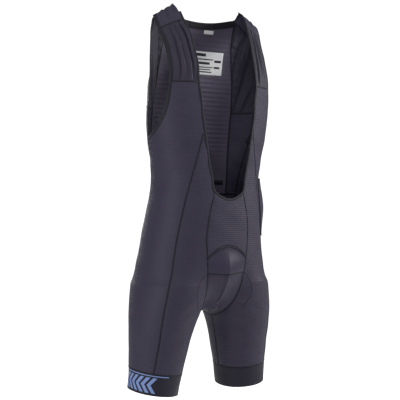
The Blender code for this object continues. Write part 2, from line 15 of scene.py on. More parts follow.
import bpy
import numpy as np
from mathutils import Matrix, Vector


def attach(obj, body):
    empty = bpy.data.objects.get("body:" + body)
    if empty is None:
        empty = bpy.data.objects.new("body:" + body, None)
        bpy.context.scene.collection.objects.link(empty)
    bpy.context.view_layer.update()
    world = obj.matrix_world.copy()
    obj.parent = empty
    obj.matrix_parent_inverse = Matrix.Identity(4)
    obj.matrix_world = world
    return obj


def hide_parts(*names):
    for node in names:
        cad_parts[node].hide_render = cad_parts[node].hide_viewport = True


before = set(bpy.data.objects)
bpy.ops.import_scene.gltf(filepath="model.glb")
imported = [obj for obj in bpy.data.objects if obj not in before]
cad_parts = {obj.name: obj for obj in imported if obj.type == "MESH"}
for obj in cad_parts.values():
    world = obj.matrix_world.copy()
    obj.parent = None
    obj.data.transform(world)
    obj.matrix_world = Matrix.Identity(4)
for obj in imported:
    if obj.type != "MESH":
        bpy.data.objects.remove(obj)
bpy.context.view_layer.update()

logging.basicConfig(level=logging.INFO, format="%(name)s: %(message)s")
log = logging.getLogger("bib")

Array = np.ndarray
Table = tuple[tuple[float, ...], ...]
Colour = tuple[float, float, float]
Place = tuple[float, float, float]
Span = tuple[float, float]
Socket = bpy.types.NodeSocket
Sockets = bpy.types.bpy_prop_collection
SIDES: tuple[tuple[str, int], ...] = (("left", 1), ("right", -1))


class Weave(Enum):
    """Which relief a cloth has."""

    RIB = "rib"
    NET = "net"
    BAR = "bar"
    PLAIN = "plain"
    PRINT = "print"


@dataclass(frozen=True)
class Finish:
    """One cloth finish.

    Attributes:
        slot: The record's material slot; not used.
        colour: Base colour of the yarn, linear.
        shade: Colour in the hollows of the weave, linear.
        roughness: Principled roughness.
        sheen: Weight of the fuzz at grazing angles.
        weave: Relief of the cloth.
        relief: Height of that relief, in metres.
    """

    slot: str
    colour: Colour
    shade: Colour
    roughness: float = 0.62
    sheen: float = 0.25
    weave: Weave = Weave.PLAIN
    relief: float = 0.0002


FINISHES: dict[str, Finish] = {
    "knit": Finish("knit", (0.049, 0.041, 0.078), (0.034, 0.028, 0.057), 0.55, 0.12, Weave.RIB, 0.00036),
    "mesh": Finish("mesh", (0.034, 0.028, 0.056), (0.011, 0.009, 0.020), 0.50, 0.20, Weave.NET, 0.00025),
    "back": Finish("mesh", (0.108, 0.094, 0.150), (0.050, 0.042, 0.074), 0.58, 0.20, Weave.NET, 0.00018),
    "binding": Finish("binding", (0.014, 0.013, 0.024), (0.006, 0.006, 0.012), 0.60, 0.15, Weave.BAR, 0.0002),
    "seam": Finish("binding", (0.012, 0.011, 0.022), (0.005, 0.005, 0.010), 0.65, 0.10, Weave.BAR, 0.0002),
    "pad": Finish("pad", (0.046, 0.038, 0.074), (0.034, 0.028, 0.056), 0.44, 0.12, Weave.PLAIN, 0.0001),
    "band": Finish("band", (0.015, 0.012, 0.029), (0.010, 0.008, 0.020), 0.50, 0.12, Weave.PRINT, 0.0001),
    "plain_band": Finish(
        "band", (0.015, 0.012, 0.029), (0.010, 0.008, 0.020), 0.50, 0.12, Weave.PLAIN, 0.0001
    ),
    "label": Finish("label", (0.960, 0.965, 0.980), (0.90, 0.91, 0.93), 0.50, 0.00, Weave.PLAIN, 0.00005),
    "ink": Finish("label", (0.030, 0.030, 0.040), (0.02, 0.02, 0.03), 0.60, 0.00, Weave.PLAIN, 0.00002),
}
PRINT_COLOUR: Colour = (0.235, 0.345, 0.680)


@dataclass(frozen=True)
class Yarn:
    """Pitches of the weaves, in metres.

    Attributes:
        rib: Distance between the level ribs.
        stitch: Distance between the stitches of the ribs' ground.
        hole: Distance between the net's holes, along their slanting rows.
        bar: Distance between the stitches across a seam.
        grain: Scale of the smooth knit's noise, per metre.
    """

    rib: float = 0.0046
    stitch: float = 0.0016
    hole: float = 0.0024
    bar: float = 0.0030
    grain: float = 900.0


@dataclass(frozen=True)
class LegPrint:
    """The leg band's print. Sizes are in metres, down from the band's top and round the leg from its front.

    Attributes:
        fold: Where the chevrons turn, down from the top.
        slant: How far a chevron leans for each metre from that line.
        pitch: Distance between chevrons.
        share: The printed share of that distance.
        bars_down: Top and foot of the chevrons.
        bars_round: Where their row starts and ends.
        line_down: Edges of the thin line over them.
        line_round: Where the line starts and ends.
    """

    fold: float = 0.0265
    slant: float = 0.75
    pitch: float = 0.0150
    share: float = 0.60
    bars_down: Span = (0.0085, 0.0445)
    bars_round: Span = (0.045, 0.150)
    line_down: Span = (0.0030, 0.0052)
    line_round: Span = (0.004, 0.150)


YARN, LEG_PRINT = Yarn(), LegPrint()

# Sections of the torso: height, half width, and the front and back of the section.
TORSO: Table = (
    # height, half_width, front_y, back_y
    (0.000, 0.160, -0.010, -0.010),
    (-0.004, 0.160, -0.022, 0.000),
    (-0.015, 0.160, -0.036, 0.009),
    (-0.045, 0.160, -0.056, 0.022),
    (-0.100, 0.161, -0.084, 0.038),
    (-0.180, 0.162, -0.105, 0.053),
    (-0.250, 0.162, -0.108, 0.068),
    (-0.310, 0.156, -0.107, 0.078),
    (-0.370, 0.143, -0.105, 0.084),
    (-0.425, 0.136, -0.104, 0.092),
    (-0.480, 0.142, -0.104, 0.103),
    (-0.560, 0.154, -0.100, 0.117),
    (-0.620, 0.164, -0.096, 0.121),
    (-0.680, 0.174, -0.090, 0.121),
    (-0.730, 0.175, -0.085, 0.115),
)
# Sections of one leg, square to its axis: height, the middle of the section, and its half sizes.
LEG: Table = (
    # height, centre_x, centre_y, half_width, half_depth
    (-0.560, 0.080, 0.016, 0.070, 0.098),
    (-0.620, 0.084, 0.016, 0.085, 0.106),
    (-0.680, 0.094, 0.014, 0.085, 0.100),
    (-0.725, 0.105, 0.012, 0.081, 0.089),
    (-0.768, 0.114, 0.014, 0.074, 0.079),
    (-0.815, 0.119, 0.018, 0.068, 0.071),
    (-0.876, 0.125, 0.023, 0.062, 0.063),
    (-0.940, 0.132, 0.028, 0.059, 0.059),
)
# Heights at which the side panel has a row; its neighbours share them from where they start.
ROWS: tuple[float, ...] = (
    -0.193, -0.235, -0.270, -0.295, -0.310, -0.3185, -0.322, -0.360, -0.410, -0.447, -0.475, -0.510,
    -0.550, -0.600, -0.633, -0.655, -0.675, -0.705, -0.728, -0.745, -0.770, -0.800, -0.830, -0.862,
)
BAND_ROWS: tuple[float, ...] = (-0.862, -0.887, -0.912)
# Seams, as the bearing in degrees round the body from the centre front.
NECKLINE: Table = (
    # height, bearing
    (-0.193, 39.0), (-0.230, 36.5), (-0.261, 35.5), (-0.303, 33.0), (-0.360, 29.5),
    (-0.410, 25.0), (-0.447, 20.5),
)
FRONT_SEAM: Table = (
    # height, bearing
    (-0.303, 32.8), (-0.374, 40.5), (-0.438, 48.5), (-0.502, 54.5), (-0.577, 60.0), (-0.674, 63.0),
    (-0.762, 68.5), (-0.862, 76.5),
)
CENTRE_SEAM: Table = (
    # height, bearing
    (-0.447, 20.5), (-0.502, 27.0), (-0.550, 29.5), (-0.600, 28.5), (-0.640, 28.0), (-0.690, 30.0),
)
ARMHOLE_FRONT: Table = (
    # height, bearing
    (-0.193, 60.0), (-0.235, 62.0), (-0.270, 66.0), (-0.295, 72.5), (-0.310, 79.0),
    (-0.3185, 85.5), (-0.322, 91.5),
)
SIDE_SEAM: Table = (
    # height, bearing
    (-0.322, 91.5), (-0.410, 99.0), (-0.475, 105.0), (-0.550, 112.0), (-0.633, 118.0), (-0.705, 118.0),
    (-0.770, 114.0), (-0.862, 108.0),
)
# Distances from the centre line on the back.
ARMHOLE_BACK: Table = (
    # height, distance
    (-0.245, 0.1590), (-0.270, 0.1575), (-0.295, 0.1545), (-0.310, 0.1510), (-0.3185, 0.1475),
)
BACK_SEAM: Table = (
    # height, distance
    (-0.245, 0.118), (-0.270, 0.118), (-0.310, 0.117), (-0.360, 0.114), (-0.410, 0.113), (-0.447, 0.114),
)
BACK_ROWS: tuple[float, ...] = (-0.245, -0.270, -0.295, -0.310, -0.3185, -0.322, -0.360, -0.410, -0.447)
# Edges of the strap, from the front seam over the shoulder to the back seam.
STRAP: Table = (
    # inner_z, outer_z, turn_inner, turn_outer, inner_x, outer_x, slope_share
    (-0.155, -0.155, None, None, 0.0865, 0.1395, 0.35),
    (-0.115, -0.115, None, None, 0.0885, 0.1395, 0.70),
    (None, None, 0.0, 0.0, 0.0905, 0.1410, 1.0),
    (None, None, 22.0, 30.0, 0.0935, 0.1430, 1.0),
    (None, None, 42.0, 62.0, 0.0965, 0.1460, 1.0),
    (None, None, 66.0, 76.0, 0.0985, 0.1480, 1.0),
    (None, None, 90.0, 90.0, 0.1000, 0.1490, 1.0),
    (None, None, 112.0, 112.0, 0.1005, 0.1500, 1.0),
    (None, None, 146.0, 146.0, 0.1010, 0.1500, 1.0),
    (None, None, 180.0, 180.0, 0.1020, 0.1530, 1.0),
    (-0.120, -0.120, None, None, 0.1065, 0.1560, 0.70),
    (-0.160, -0.160, None, None, 0.1115, 0.1580, 0.35),
    (-0.205, -0.205, None, None, 0.1155, 0.1592, 0.10),
)
# The edge of the gusset from the front, under the crotch, to the centre back seam.
GUSSET: Table = (
    # distance, depth_y, height
    (0.040, -0.066, -0.705),
    (0.034, -0.036, -0.728),
    (0.029, 0.010, -0.742),
    (0.027, 0.058, -0.730),
    (0.021, 0.090, -0.706),
    (0.012, 0.112, -0.675),
    (0.0025, 0.119, -0.655),
)
POCKET_ROWS: tuple[int, int] = (8, 12)
POCKET_COLUMNS: tuple[int, int] = (1, 7)
TAPE_Z: tuple[float, ...] = (-0.412, -0.423)
TAPE_HALF: float = 0.106
LABEL_X: tuple[float, ...] = (-0.032, 0.083)
LABEL_Z: tuple[float, ...] = (-0.098, -0.154)
TAG_X: tuple[float, ...] = (0.018, 0.046)
TAG_Z: tuple[float, ...] = (-0.048, -0.057)
# Marks on the care panel, as shares of its width and height.
CARE_MARKS: Table = (
    # left, top, width, height
    (0.04, 0.10, 0.07, 0.16), (0.04, 0.42, 0.07, 0.16), (0.04, 0.72, 0.07, 0.16), (0.17, 0.08, 0.40, 0.12),
    (0.17, 0.30, 0.60, 0.05), (0.17, 0.44, 0.52, 0.10), (0.17, 0.64, 0.60, 0.04), (0.17, 0.74, 0.55, 0.04),
    (0.17, 0.84, 0.58, 0.05), (0.80, 0.34, 0.16, 0.10), (0.80, 0.62, 0.14, 0.08),
)
# The stitch line that shows where the pad lies behind the thigh panel.
PAD_OUTLINE: Table = (
    # distance, height
    (0.053, -0.634), (0.064, -0.642), (0.076, -0.660), (0.080, -0.680), (0.073, -0.702), (0.060, -0.720),
    (0.048, -0.735),
)


def _curve(table: Table, column: int, at: Array) -> Array:
    """A smooth curve with no overshoot through one column of a table.

    Args:
        table: Rows whose first column falls.
        column: The column to read.
        at: Where to read it.

    Returns:
        The column's values there. Slopes are the harmonic means of the steps on both sides.
    """
    rows = np.array(table, float)[::-1]
    x, y = rows[:, 0], rows[:, column]
    step = np.diff(x)
    slope = np.diff(y) / step
    both = slope[1:] * slope[:-1]
    tangent = np.concatenate([slope[:1], np.zeros(len(x) - 2), slope[-1:]])
    total = slope[1:] + slope[:-1]
    tangent[1:-1] = np.where(both > 0, 2 * both / np.where(both > 0, total, 1.0), 0.0)
    at = np.clip(at, x[0], x[-1])
    i = np.clip(np.searchsorted(x, at) - 1, 0, len(step) - 1)
    u = (at - x[i]) / step[i]
    ends = y[i] * (1 + 2 * u) * (1 - u) ** 2 + y[i + 1] * u * u * (3 - 2 * u)
    return ends + step[i] * (tangent[i] * u * (1 - u) ** 2 + tangent[i + 1] * u * u * (u - 1))


def _ramp(value: Array, low: float, high: float) -> Array:
    """0 below low, 1 above high, with a smooth step between."""
    u = np.clip((np.asarray(value, float) - low) / (high - low), 0, 1)
    return u * u * (3 - 2 * u)


def _unit(vectors: Array) -> Array:
    """The vectors at length 1."""
    return vectors / (np.linalg.norm(vectors, axis=-1, keepdims=True) + 1e-15)


@dataclass(frozen=True)
class Figure:
    """The general figure that the garment is filled out on, as a surface where a function is 0.

    Attributes:
        torso: Height, half width, front and back of each torso section.
        leg: Height, middle and half sizes of each leg section.
        torso_power: Power of the torso's superellipse.
        leg_power: Power of the legs'.
        shoulder_slope: Fall of the shoulders per unit of width.
        slope_from: Distance from the centre line at which that fall starts.
        crotch_top: Height at which the torso starts to close.
        crotch_drop: How far below it the torso ends.
        blend: Reach of the smooth blend between torso and leg.
        leg_top: Height above which the leg draws in under the hip.
        leg_rise: How fast it draws in.
        splay: Tilt of the leg's sections across.
        lean: Tilt of the leg's sections from front to back.
        axis_y: Depth of the axis that bearings are taken from.
    """

    torso: Table
    leg: Table
    torso_power: float = 2.35
    leg_power: float = 2.1
    shoulder_slope: float = 0.55
    slope_from: float = 0.095
    crotch_top: float = -0.600
    crotch_drop: float = 0.130
    blend: float = 0.022
    leg_top: float = -0.660
    leg_rise: float = 0.35
    splay: float = 0.119
    lean: float = 0.098
    axis_y: float = 0.010

    def drop(self, x: Array) -> Array:
        """How far the shoulder has fallen at a distance x from the centre line."""
        return self.shoulder_slope * np.maximum(np.abs(x) - self.slope_from, 0)

    @staticmethod
    def _oval(dx: Array, dy: Array, half_x: Array, half_y: Array, power: float) -> Array:
        """Signed distance, along the ray from the middle, to a superellipse.

        With q the power mean of dx / half_x and dy / half_y, the ray of length r meets the curve at r / q.

        Args:
            dx: Distances from the middle, across.
            dy: Distances from it, from front to back.
            half_x: Half width of the curve.
            half_y: Half depth of the curve.
            power: Power of the superellipse.

        Returns:
            The distances.
        """
        size = ((np.abs(dx) / half_x) ** power + (np.abs(dy) / half_y) ** power + 1e-12) ** (1 / power)
        reach = np.hypot(dx, dy) + 1e-9
        return reach - reach / size

    def value(self, point: Array) -> Array:
        """The form's function: negative inside, 0 on the surface.

        The torso's and the legs' distances are joined by a smooth minimum, which takes off a quarter of the
        blend's reach times the square of their overlap share.

        Args:
            point: Places, with x, y and z on the last axis.

        Returns:
            The function's values.
        """
        x, y, z = point[..., 0], point[..., 1], point[..., 2]
        height = z + self.drop(x) * np.clip((z + 0.20) / 0.10, 0, 1)
        front, back = _curve(self.torso, 2, height), _curve(self.torso, 3, height)
        half_x, half_y = _curve(self.torso, 1, height), np.maximum((back - front) / 2, 0.001)
        fall = np.clip((self.crotch_top - z) / self.crotch_drop, 0, 0.9999)
        close = np.sqrt(np.clip(1 - fall**2, 1e-4, 1))
        torso = self._oval(x, y - (front + back) / 2, half_x * close, half_y * close, self.torso_power)
        torso = torso + 3 * np.maximum(self.crotch_top - self.crotch_drop - z, 0)
        middle_x, middle_y, leg_x, leg_y = (_curve(self.leg, column, z) for column in (1, 2, 3, 4))
        leg = self._oval(np.abs(x) - middle_x, y - middle_y, leg_x, leg_y, self.leg_power)
        leg = leg + self.leg_rise * np.maximum(z - self.leg_top, 0)
        share = np.maximum(self.blend - np.abs(torso - leg), 0) / self.blend
        return np.minimum(torso, leg) - share**2 * self.blend / 4

    def slope(self, point: Array) -> Array:
        """The gradient of the form's function, by central steps.

        Args:
            point: Places, with x, y and z on the last axis.

        Returns:
            The gradient at each place.
        """
        small = 1e-4
        steps = np.eye(3) * small
        return np.stack([self.value(point + s) - self.value(point - s) for s in steps], -1) / (2 * small)

    def outward(self, point: Array) -> Array:
        """Unit normals of the form."""
        return _unit(self.slope(point))

    def settle(self, point: Array, rounds: int = 6) -> Array:
        """Moves points near the form onto it, along its slope.

        Args:
            point: Places, with x, y and z on the last axis.
            rounds: How often each one is moved.

        Returns:
            The moved points.
        """
        for _ in range(rounds):
            slope = self.slope(point)
            point = point - slope * (self.value(point) / np.maximum((slope**2).sum(-1), 0.05))[..., None]
        return point

    def hit(self, start: Array, direction: Array, reach: float, steps: int = 60) -> Array:
        """The first point where the form changes sign along rays.

        Args:
            start: Where each ray starts.
            direction: Its direction.
            reach: How far it runs.
            steps: Into how many steps the first search divides it.

        Returns:
            The points, narrowed down by halving.
        """
        start, direction = np.broadcast_arrays(start, direction)
        lengths = np.linspace(0.0, reach, steps)
        values = np.stack([self.value(start + direction * s) for s in lengths])
        first = np.argmax(np.signbit(values[1:]) != np.signbit(values[:-1]), axis=0)
        low, high = lengths[first], lengths[first + 1]
        sign = np.signbit(self.value(start + direction * low[..., None]))
        for _ in range(26):
            middle = (low + high) / 2
            same = np.signbit(self.value(start + direction * middle[..., None])) == sign
            low, high = np.where(same, middle, low), np.where(same, high, middle)
        return start + direction * low[..., None]

    def tilt(self, row: Array, across: Array, back: Array) -> Array:
        """The height that a row gains along a direction on a leg."""
        return _ramp(-np.asarray(row, float), 0.70, 0.86) * (self.splay * across + self.lean * back)

    def middle(self, row: Array) -> tuple[Array, Array]:
        """The point that a row fans out from: the torso's middle above, the leg's middle below.

        Args:
            row: The row's height.

        Returns:
            Its distance from the centre line, and its depth.
        """
        share = _ramp(-np.asarray(row, float), 0.58, 0.76)
        torso_y = (_curve(self.torso, 2, row) + _curve(self.torso, 3, row)) / 2
        return share * _curve(self.leg, 1, row), (1 - share) * torso_y + share * _curve(self.leg, 2, row)

    def base(self, row: Array, across: Array, back: Array) -> Array:
        """The height of a row's plane at a point."""
        return row + self.tilt(row, across - _curve(self.leg, 1, row), back - _curve(self.leg, 2, row))

    def from_outside(self, row: Array, bearing: Array) -> Array:
        """Points of the wearer's left half at bearings, in degrees from the front.

        Args:
            row: Heights of the rows.
            bearing: A bearing for each.

        Returns:
            The points, found from outside.
        """
        row, angle = np.broadcast_arrays(np.asarray(row, float), np.radians(bearing))
        run, deep = np.sin(angle), -np.cos(angle)
        start = np.stack([0 * row, 0 * row + self.axis_y, self.base(row, 0 * row, 0 * row + self.axis_y)], -1)
        direction = np.stack([run, deep, self.tilt(row, run, deep)], -1)
        return self.hit(start + direction * 0.32, -direction, 0.30)

    def from_depth(self, x: Array, height: Array, facing: int) -> Array:
        """Points of the back (facing 1) or of the front (facing -1) over distances from the centre line.

        Args:
            x: Distances from the centre line.
            height: Heights.
            facing: Which face is meant.

        Returns:
            The points.
        """
        x, height = np.broadcast_arrays(np.asarray(x, float), np.asarray(height, float))
        start = np.stack([x, 0 * x + 0.20 * facing, height], -1)
        return self.hit(start, np.array([0.0, -1.0 * facing, 0.0]), 0.30)

    def over_shoulder(self, x: Array, turn: Array, fan_y: float, fan_z: float) -> Array:
        """Points of the shoulder, where turn is 0 at the front, 90 on top and 180 at the back.

        Args:
            x: Distances from the centre line.
            turn: Angles over the shoulder, in degrees.
            fan_y: Depth of the point that they fan out from.
            fan_z: Its height.

        Returns:
            The points.
        """
        angle = np.radians(turn)
        start = np.stack([x, 0 * x + fan_y, fan_z - self.drop(x)], -1)
        return self.hit(start, np.stack([0 * x, -np.cos(angle), np.sin(angle)], -1), 0.16)

    def turn_of(self, point: Array, row: float) -> Array:
        """The angle of points round the middle of their row."""
        across, back = self.middle(row)
        return np.arctan2(point[..., 0] - across, -(point[..., 1] - back))

    def ring(self, row: float, angle: Array) -> Array:
        """Points of a row at angles round its middle.

        Args:
            row: The row's height.
            angle: The angles, in radians.

        Returns:
            The points.
        """
        across, back = self.middle(row)
        run, deep = np.sin(angle), -np.cos(angle)
        start = np.array([across, back, self.base(row, across, back)])
        return self.hit(start, np.stack([run, deep, self.tilt(row, run, deep)], -1), 0.26)

    def between(self, first: Array, last: Array, row: float, columns: int) -> Array:
        """A row of points from first to last, fanned out round the middle of the row.

        Args:
            first: The first point.
            last: The last one.
            row: The row's height.
            columns: How many points it has.

        Returns:
            The points.
        """
        a, b = self.turn_of(first, row), self.turn_of(last, row)
        points = self.ring(row, np.linspace(a, b + (2 * np.pi if b < a else 0), columns))
        points[0], points[-1] = first, last
        return points

    def stack(self, firsts: Array, lasts: Array, rows: Array, columns: int) -> Array:
        """A grid of rows between two edges."""
        return np.array([self.between(a, b, r, columns) for a, b, r in zip(firsts, lasts, rows)])


@dataclass(frozen=True)
class Cut:
    """The cutting plan: where every panel's edges lie on the figure.

    Attributes:
        figure: The figure that the panels lie on.
        apex: Row at which the front seam leaves the neckline.
        waist: Row at which the neckline's scoop ends.
        crotch: Row at the lowest point of the gusset's edge.
        hole_rows: Rows of the side panel that end at the armhole.
        back_hole_rows: Rows of the back side panel that end at the armhole.
        cup_end: Row before which the centre seam ends and the gusset starts.
        seat_end: Row before which the centre back seam ends.
        yoke_front: Strap row before the yoke.
        yoke_back: Strap row at which the yoke ends.
        strap_columns: Points across a strap.
        side_columns: Points across a side panel.
        thigh_columns: Points across a front thigh panel.
        back_columns: Points across a back leg panel.
        back_side_columns: Points across a back side panel.
        centre_columns: Points across the centre front and the pad.
        panel_columns: Points across the centre back panel.
        fan_y: Depth of the point that the shoulder's points fan out from.
        fan_z: Height of that point.
        neck_back: Height of the neckline at the centre back.
        neck_front: Height of the neckline at the centre front.
        arch_top: Height of the pad's arch.
    """

    figure: Figure
    apex: int = 4
    waist: int = 9
    crotch: int = 19
    hole_rows: int = 7
    back_hole_rows: int = 5
    cup_end: int = 17
    seat_end: int = 15
    yoke_front: int = 4
    yoke_back: int = 7
    strap_columns: int = 17
    side_columns: int = 10
    thigh_columns: int = 7
    back_columns: int = 9
    back_side_columns: int = 5
    centre_columns: int = 9
    panel_columns: int = 15
    fan_y: float = -0.015
    fan_z: float = -0.075
    neck_back: float = -0.037
    neck_front: float = -0.464
    arch_top: float = -0.573

    def seam(self, table: Table, rows: Array) -> Array:
        """Points along a seam that is stated by bearings."""
        return self.figure.from_outside(np.array(rows), _curve(table, 1, np.array(rows)))

    def gusset_edge(self) -> Array:
        """The gusset's edge from the front, under the crotch, to the centre back."""
        return self.figure.settle(np.array(GUSSET), 12)

    def inseam(self, rows: Array) -> Array:
        """Points down the inner side of the leg."""
        return np.array([self.figure.ring(row, np.array([-np.pi / 2]))[0] for row in rows])

    def side(self) -> Array:
        """The side panel, from the top of the bib to the leg band.

        Returns:
            Its rows, from the front seam to the side seam.
        """
        rows = np.array(ROWS)
        apex, hole = self.apex, self.hole_rows
        front = np.concatenate([self.seam(NECKLINE, rows[:apex]), self.seam(FRONT_SEAM, rows[apex:])])
        back = np.concatenate([self.seam(ARMHOLE_FRONT, rows[:hole]), self.seam(SIDE_SEAM, rows[hole:])])
        return self.figure.stack(front, back, rows, self.side_columns)

    def thigh(self, side: Array) -> Array:
        """The front thigh panel: neckline, centre seam, gusset and inseam on its inner edge.

        Args:
            side: The side panel's grid.

        Returns:
            Its rows, from the inner edge to the front seam.
        """
        rows = np.array(ROWS)
        inner = np.concatenate([
            self.seam(NECKLINE, rows[self.apex : self.waist]),
            self.seam(CENTRE_SEAM, rows[self.waist : self.cup_end]),
            self.gusset_edge()[:3],
            self.inseam(rows[self.crotch + 1 :]),
        ])
        return self.figure.stack(inner, side[self.apex :, 0], rows[self.apex :], self.thigh_columns)

    def back_leg(self, side: Array) -> Array:
        """The back leg panel: centre back seam, gusset and inseam on its inner edge.

        Args:
            side: The side panel's grid.

        Returns:
            Its rows, from the side seam to the inner edge.
        """
        rows = np.array(ROWS)
        seat = rows[self.waist : self.seat_end]
        centre = self.figure.from_depth(0 * seat, seat, 1)
        inner = np.concatenate([centre, self.gusset_edge()[::-1][:5], self.inseam(rows[self.crotch + 1 :])])
        return self.figure.stack(side[self.waist :, -1], inner, rows[self.waist :], self.back_columns)

    def band(self, thigh: Array, side: Array, back: Array) -> Array:
        """The ring of the leg band.

        Args:
            thigh: The front thigh panel's grid.
            side: The side panel's.
            back: The back leg panel's.

        Returns:
            Its rows, as rings that start at the inseam.
        """
        ring = np.concatenate([thigh[-1, :-1], side[-1, :-1], back[-1, :-1]])
        angle = self.figure.turn_of(ring, BAND_ROWS[0])
        return np.array([self.figure.ring(row, angle) for row in BAND_ROWS])

    def strap(self, side: Array) -> Array:
        """Rows of the strap from the front seam, over the shoulder, to the back seam.

        Args:
            side: The side panel's grid.

        Returns:
            Its rows, from the neck to the armhole.
        """
        share = np.linspace(0, 1, self.strap_columns)
        found = [self.figure.between(side[0, 0], side[0, -1], ROWS[0], self.strap_columns)]
        for number, (z, _, turn_in, turn_out, x_in, x_out, slope) in enumerate(STRAP):
            x = x_in + (x_out - x_in) * share
            if turn_in is None:
                facing = -1 if number < self.yoke_front else 1
                found.append(self.figure.from_depth(x, z - slope * self.figure.drop(x), facing))
            else:
                turn = turn_in + (turn_out - turn_in) * share
                found.append(self.figure.over_shoulder(x, turn, self.fan_y, self.fan_z))
        height = BACK_ROWS[0]
        ends = _curve(BACK_SEAM, 1, height), _curve(ARMHOLE_BACK, 1, height)
        found.append(self.figure.from_depth(ends[0] + (ends[1] - ends[0]) * share, height, 1))
        return np.array(found)

    def back_panel(self, strap: Array) -> Array:
        """The centre back panel, between the mesh and back side panels of the two sides.

        Args:
            strap: The strap's grid.

        Returns:
            Its rows, from the wearer's right to the left.
        """
        heights = np.array(BACK_ROWS[1:])
        lower = self.figure.from_depth(_curve(BACK_SEAM, 1, heights), heights, 1)
        edge = np.concatenate([strap[self.yoke_back + 1 :, 0], lower])
        share = np.linspace(-1, 1, self.panel_columns)
        grid = []
        for number, point in enumerate(edge):
            sag = (self.neck_back - point[2]) * (1 - share**2) if number == 0 else 0 * share
            line = self.figure.from_depth(point[0] * share, point[2] + sag, 1)
            line[0], line[-1] = point * (-1, 1, 1), point
            grid.append(line)
        return np.array(grid)

    def back_side(self) -> Array:
        """The back side panel, below the slack mesh.

        Returns:
            Its rows, from the back seam outwards.
        """
        heights = np.array(BACK_ROWS)
        inner = self.figure.from_depth(_curve(BACK_SEAM, 1, heights), heights, 1)
        free = self.back_hole_rows
        hole = self.figure.from_depth(_curve(ARMHOLE_BACK, 1, heights[:free]), heights[:free], 1)
        outer = np.concatenate([hole, self.seam(SIDE_SEAM, heights[free:])])
        columns = self.back_side_columns
        share = np.linspace(0, 1, columns)
        grid = []
        for number, (a, b, height) in enumerate(zip(inner, outer, heights)):
            if number <= free:
                grid.append(self.figure.from_depth(a[0] + (b[0] - a[0]) * share, a[2], 1))
            else:
                grid.append(self.figure.between(b, a, height, columns)[::-1])
        grid = np.array(grid)
        grid[free:, -1] = outer[free:]
        return grid

    def across(self, edge: Array, height: float) -> Array:
        """A row across the front between an edge point and its mirror image, bowed to a height at the
        middle.

        Args:
            edge: The point on the left half.
            height: Height at the middle.

        Returns:
            The row.
        """
        share = np.linspace(-1, 1, self.centre_columns)
        line = self.figure.from_depth(edge[0] * share, edge[2] + (height - edge[2]) * (1 - share**2), -1)
        line[0], line[-1] = edge * (-1, 1, 1), edge
        return line

    def centre(self) -> tuple[Array, Array, Array]:
        """The centre front, the upper cup, and the gusset that runs under the crotch.

        Returns:
            The three grids.
        """
        edge = self.seam(CENTRE_SEAM, np.array(ROWS)[self.waist : self.cup_end])
        arch = self.across(edge[4], self.arch_top)
        neck = self.across(edge[0], self.neck_front)
        front = np.array([neck, *(self.across(point, point[2]) for point in edge[1:4]), arch])
        foot = self.across(edge[5], edge[5][2])
        rows = [
            self.across(edge[4] * (1 - s) + edge[5] * s, self.arch_top * (1 - s) + edge[5][2] * s)
            for s in (0.33, 0.67)
        ]
        upper = np.array([arch, *(self.figure.settle(row, 12) for row in rows), foot])
        lower = [upper[-1], self.across(edge[6], edge[6][2]), self.across(edge[7], edge[7][2])]
        share = np.linspace(-1, 1, self.centre_columns)[:, None]
        for point in self.gusset_edge():
            line = point * np.concatenate([share, np.ones_like(share), np.ones_like(share)], 1)
            line = self.figure.settle(line + (0, 0, -0.006) * (1 - share**2), 12)
            line[0], line[-1] = point * (-1, 1, 1), point
            lower.append(line)
        return front, upper, np.array(lower)


@dataclass(frozen=True)
class Crease:
    """A soft trough or ridge.

    Attributes:
        start: One end, in metres.
        end: The other end.
        width: Half width at its middle, in metres.
        height: Height of the ridge, or minus the depth of the trough, in metres.
        bow: How far its middle is pushed from the straight line, in metres.
        mirrored: Whether the other side of the body has one like it.
    """

    start: Place
    end: Place
    width: float
    height: float
    bow: Place = (0.0, 0.0, 0.0)
    mirrored: bool = True

    def lift(self, point: Array) -> Array:
        """Height of the crease at points.

        With t the share of the way along and d the distance from the bowed line, the height is
        height * sin(pi t) ** 0.7 * exp(-(d / width) ** 2).

        Args:
            point: Places, with x, y and z on the last axis.

        Returns:
            The heights.
        """
        start, end, bow = (np.array(v) for v in (self.start, self.end, self.bow))
        total = np.zeros(point.shape[:-1])
        for side in (1, -1) if self.mirrored else (1,):
            at = point * (side, 1, 1)
            run = end - start
            t = np.clip(((at - start) @ run) / (run @ run), 0, 1)
            wave = np.sin(np.pi * t).clip(0)
            line = start + t[..., None] * run + wave[..., None] * bow
            distance = np.linalg.norm(at - line, axis=-1)
            total += self.height * wave**0.7 * np.exp(-((distance / self.width) ** 2))
        return total


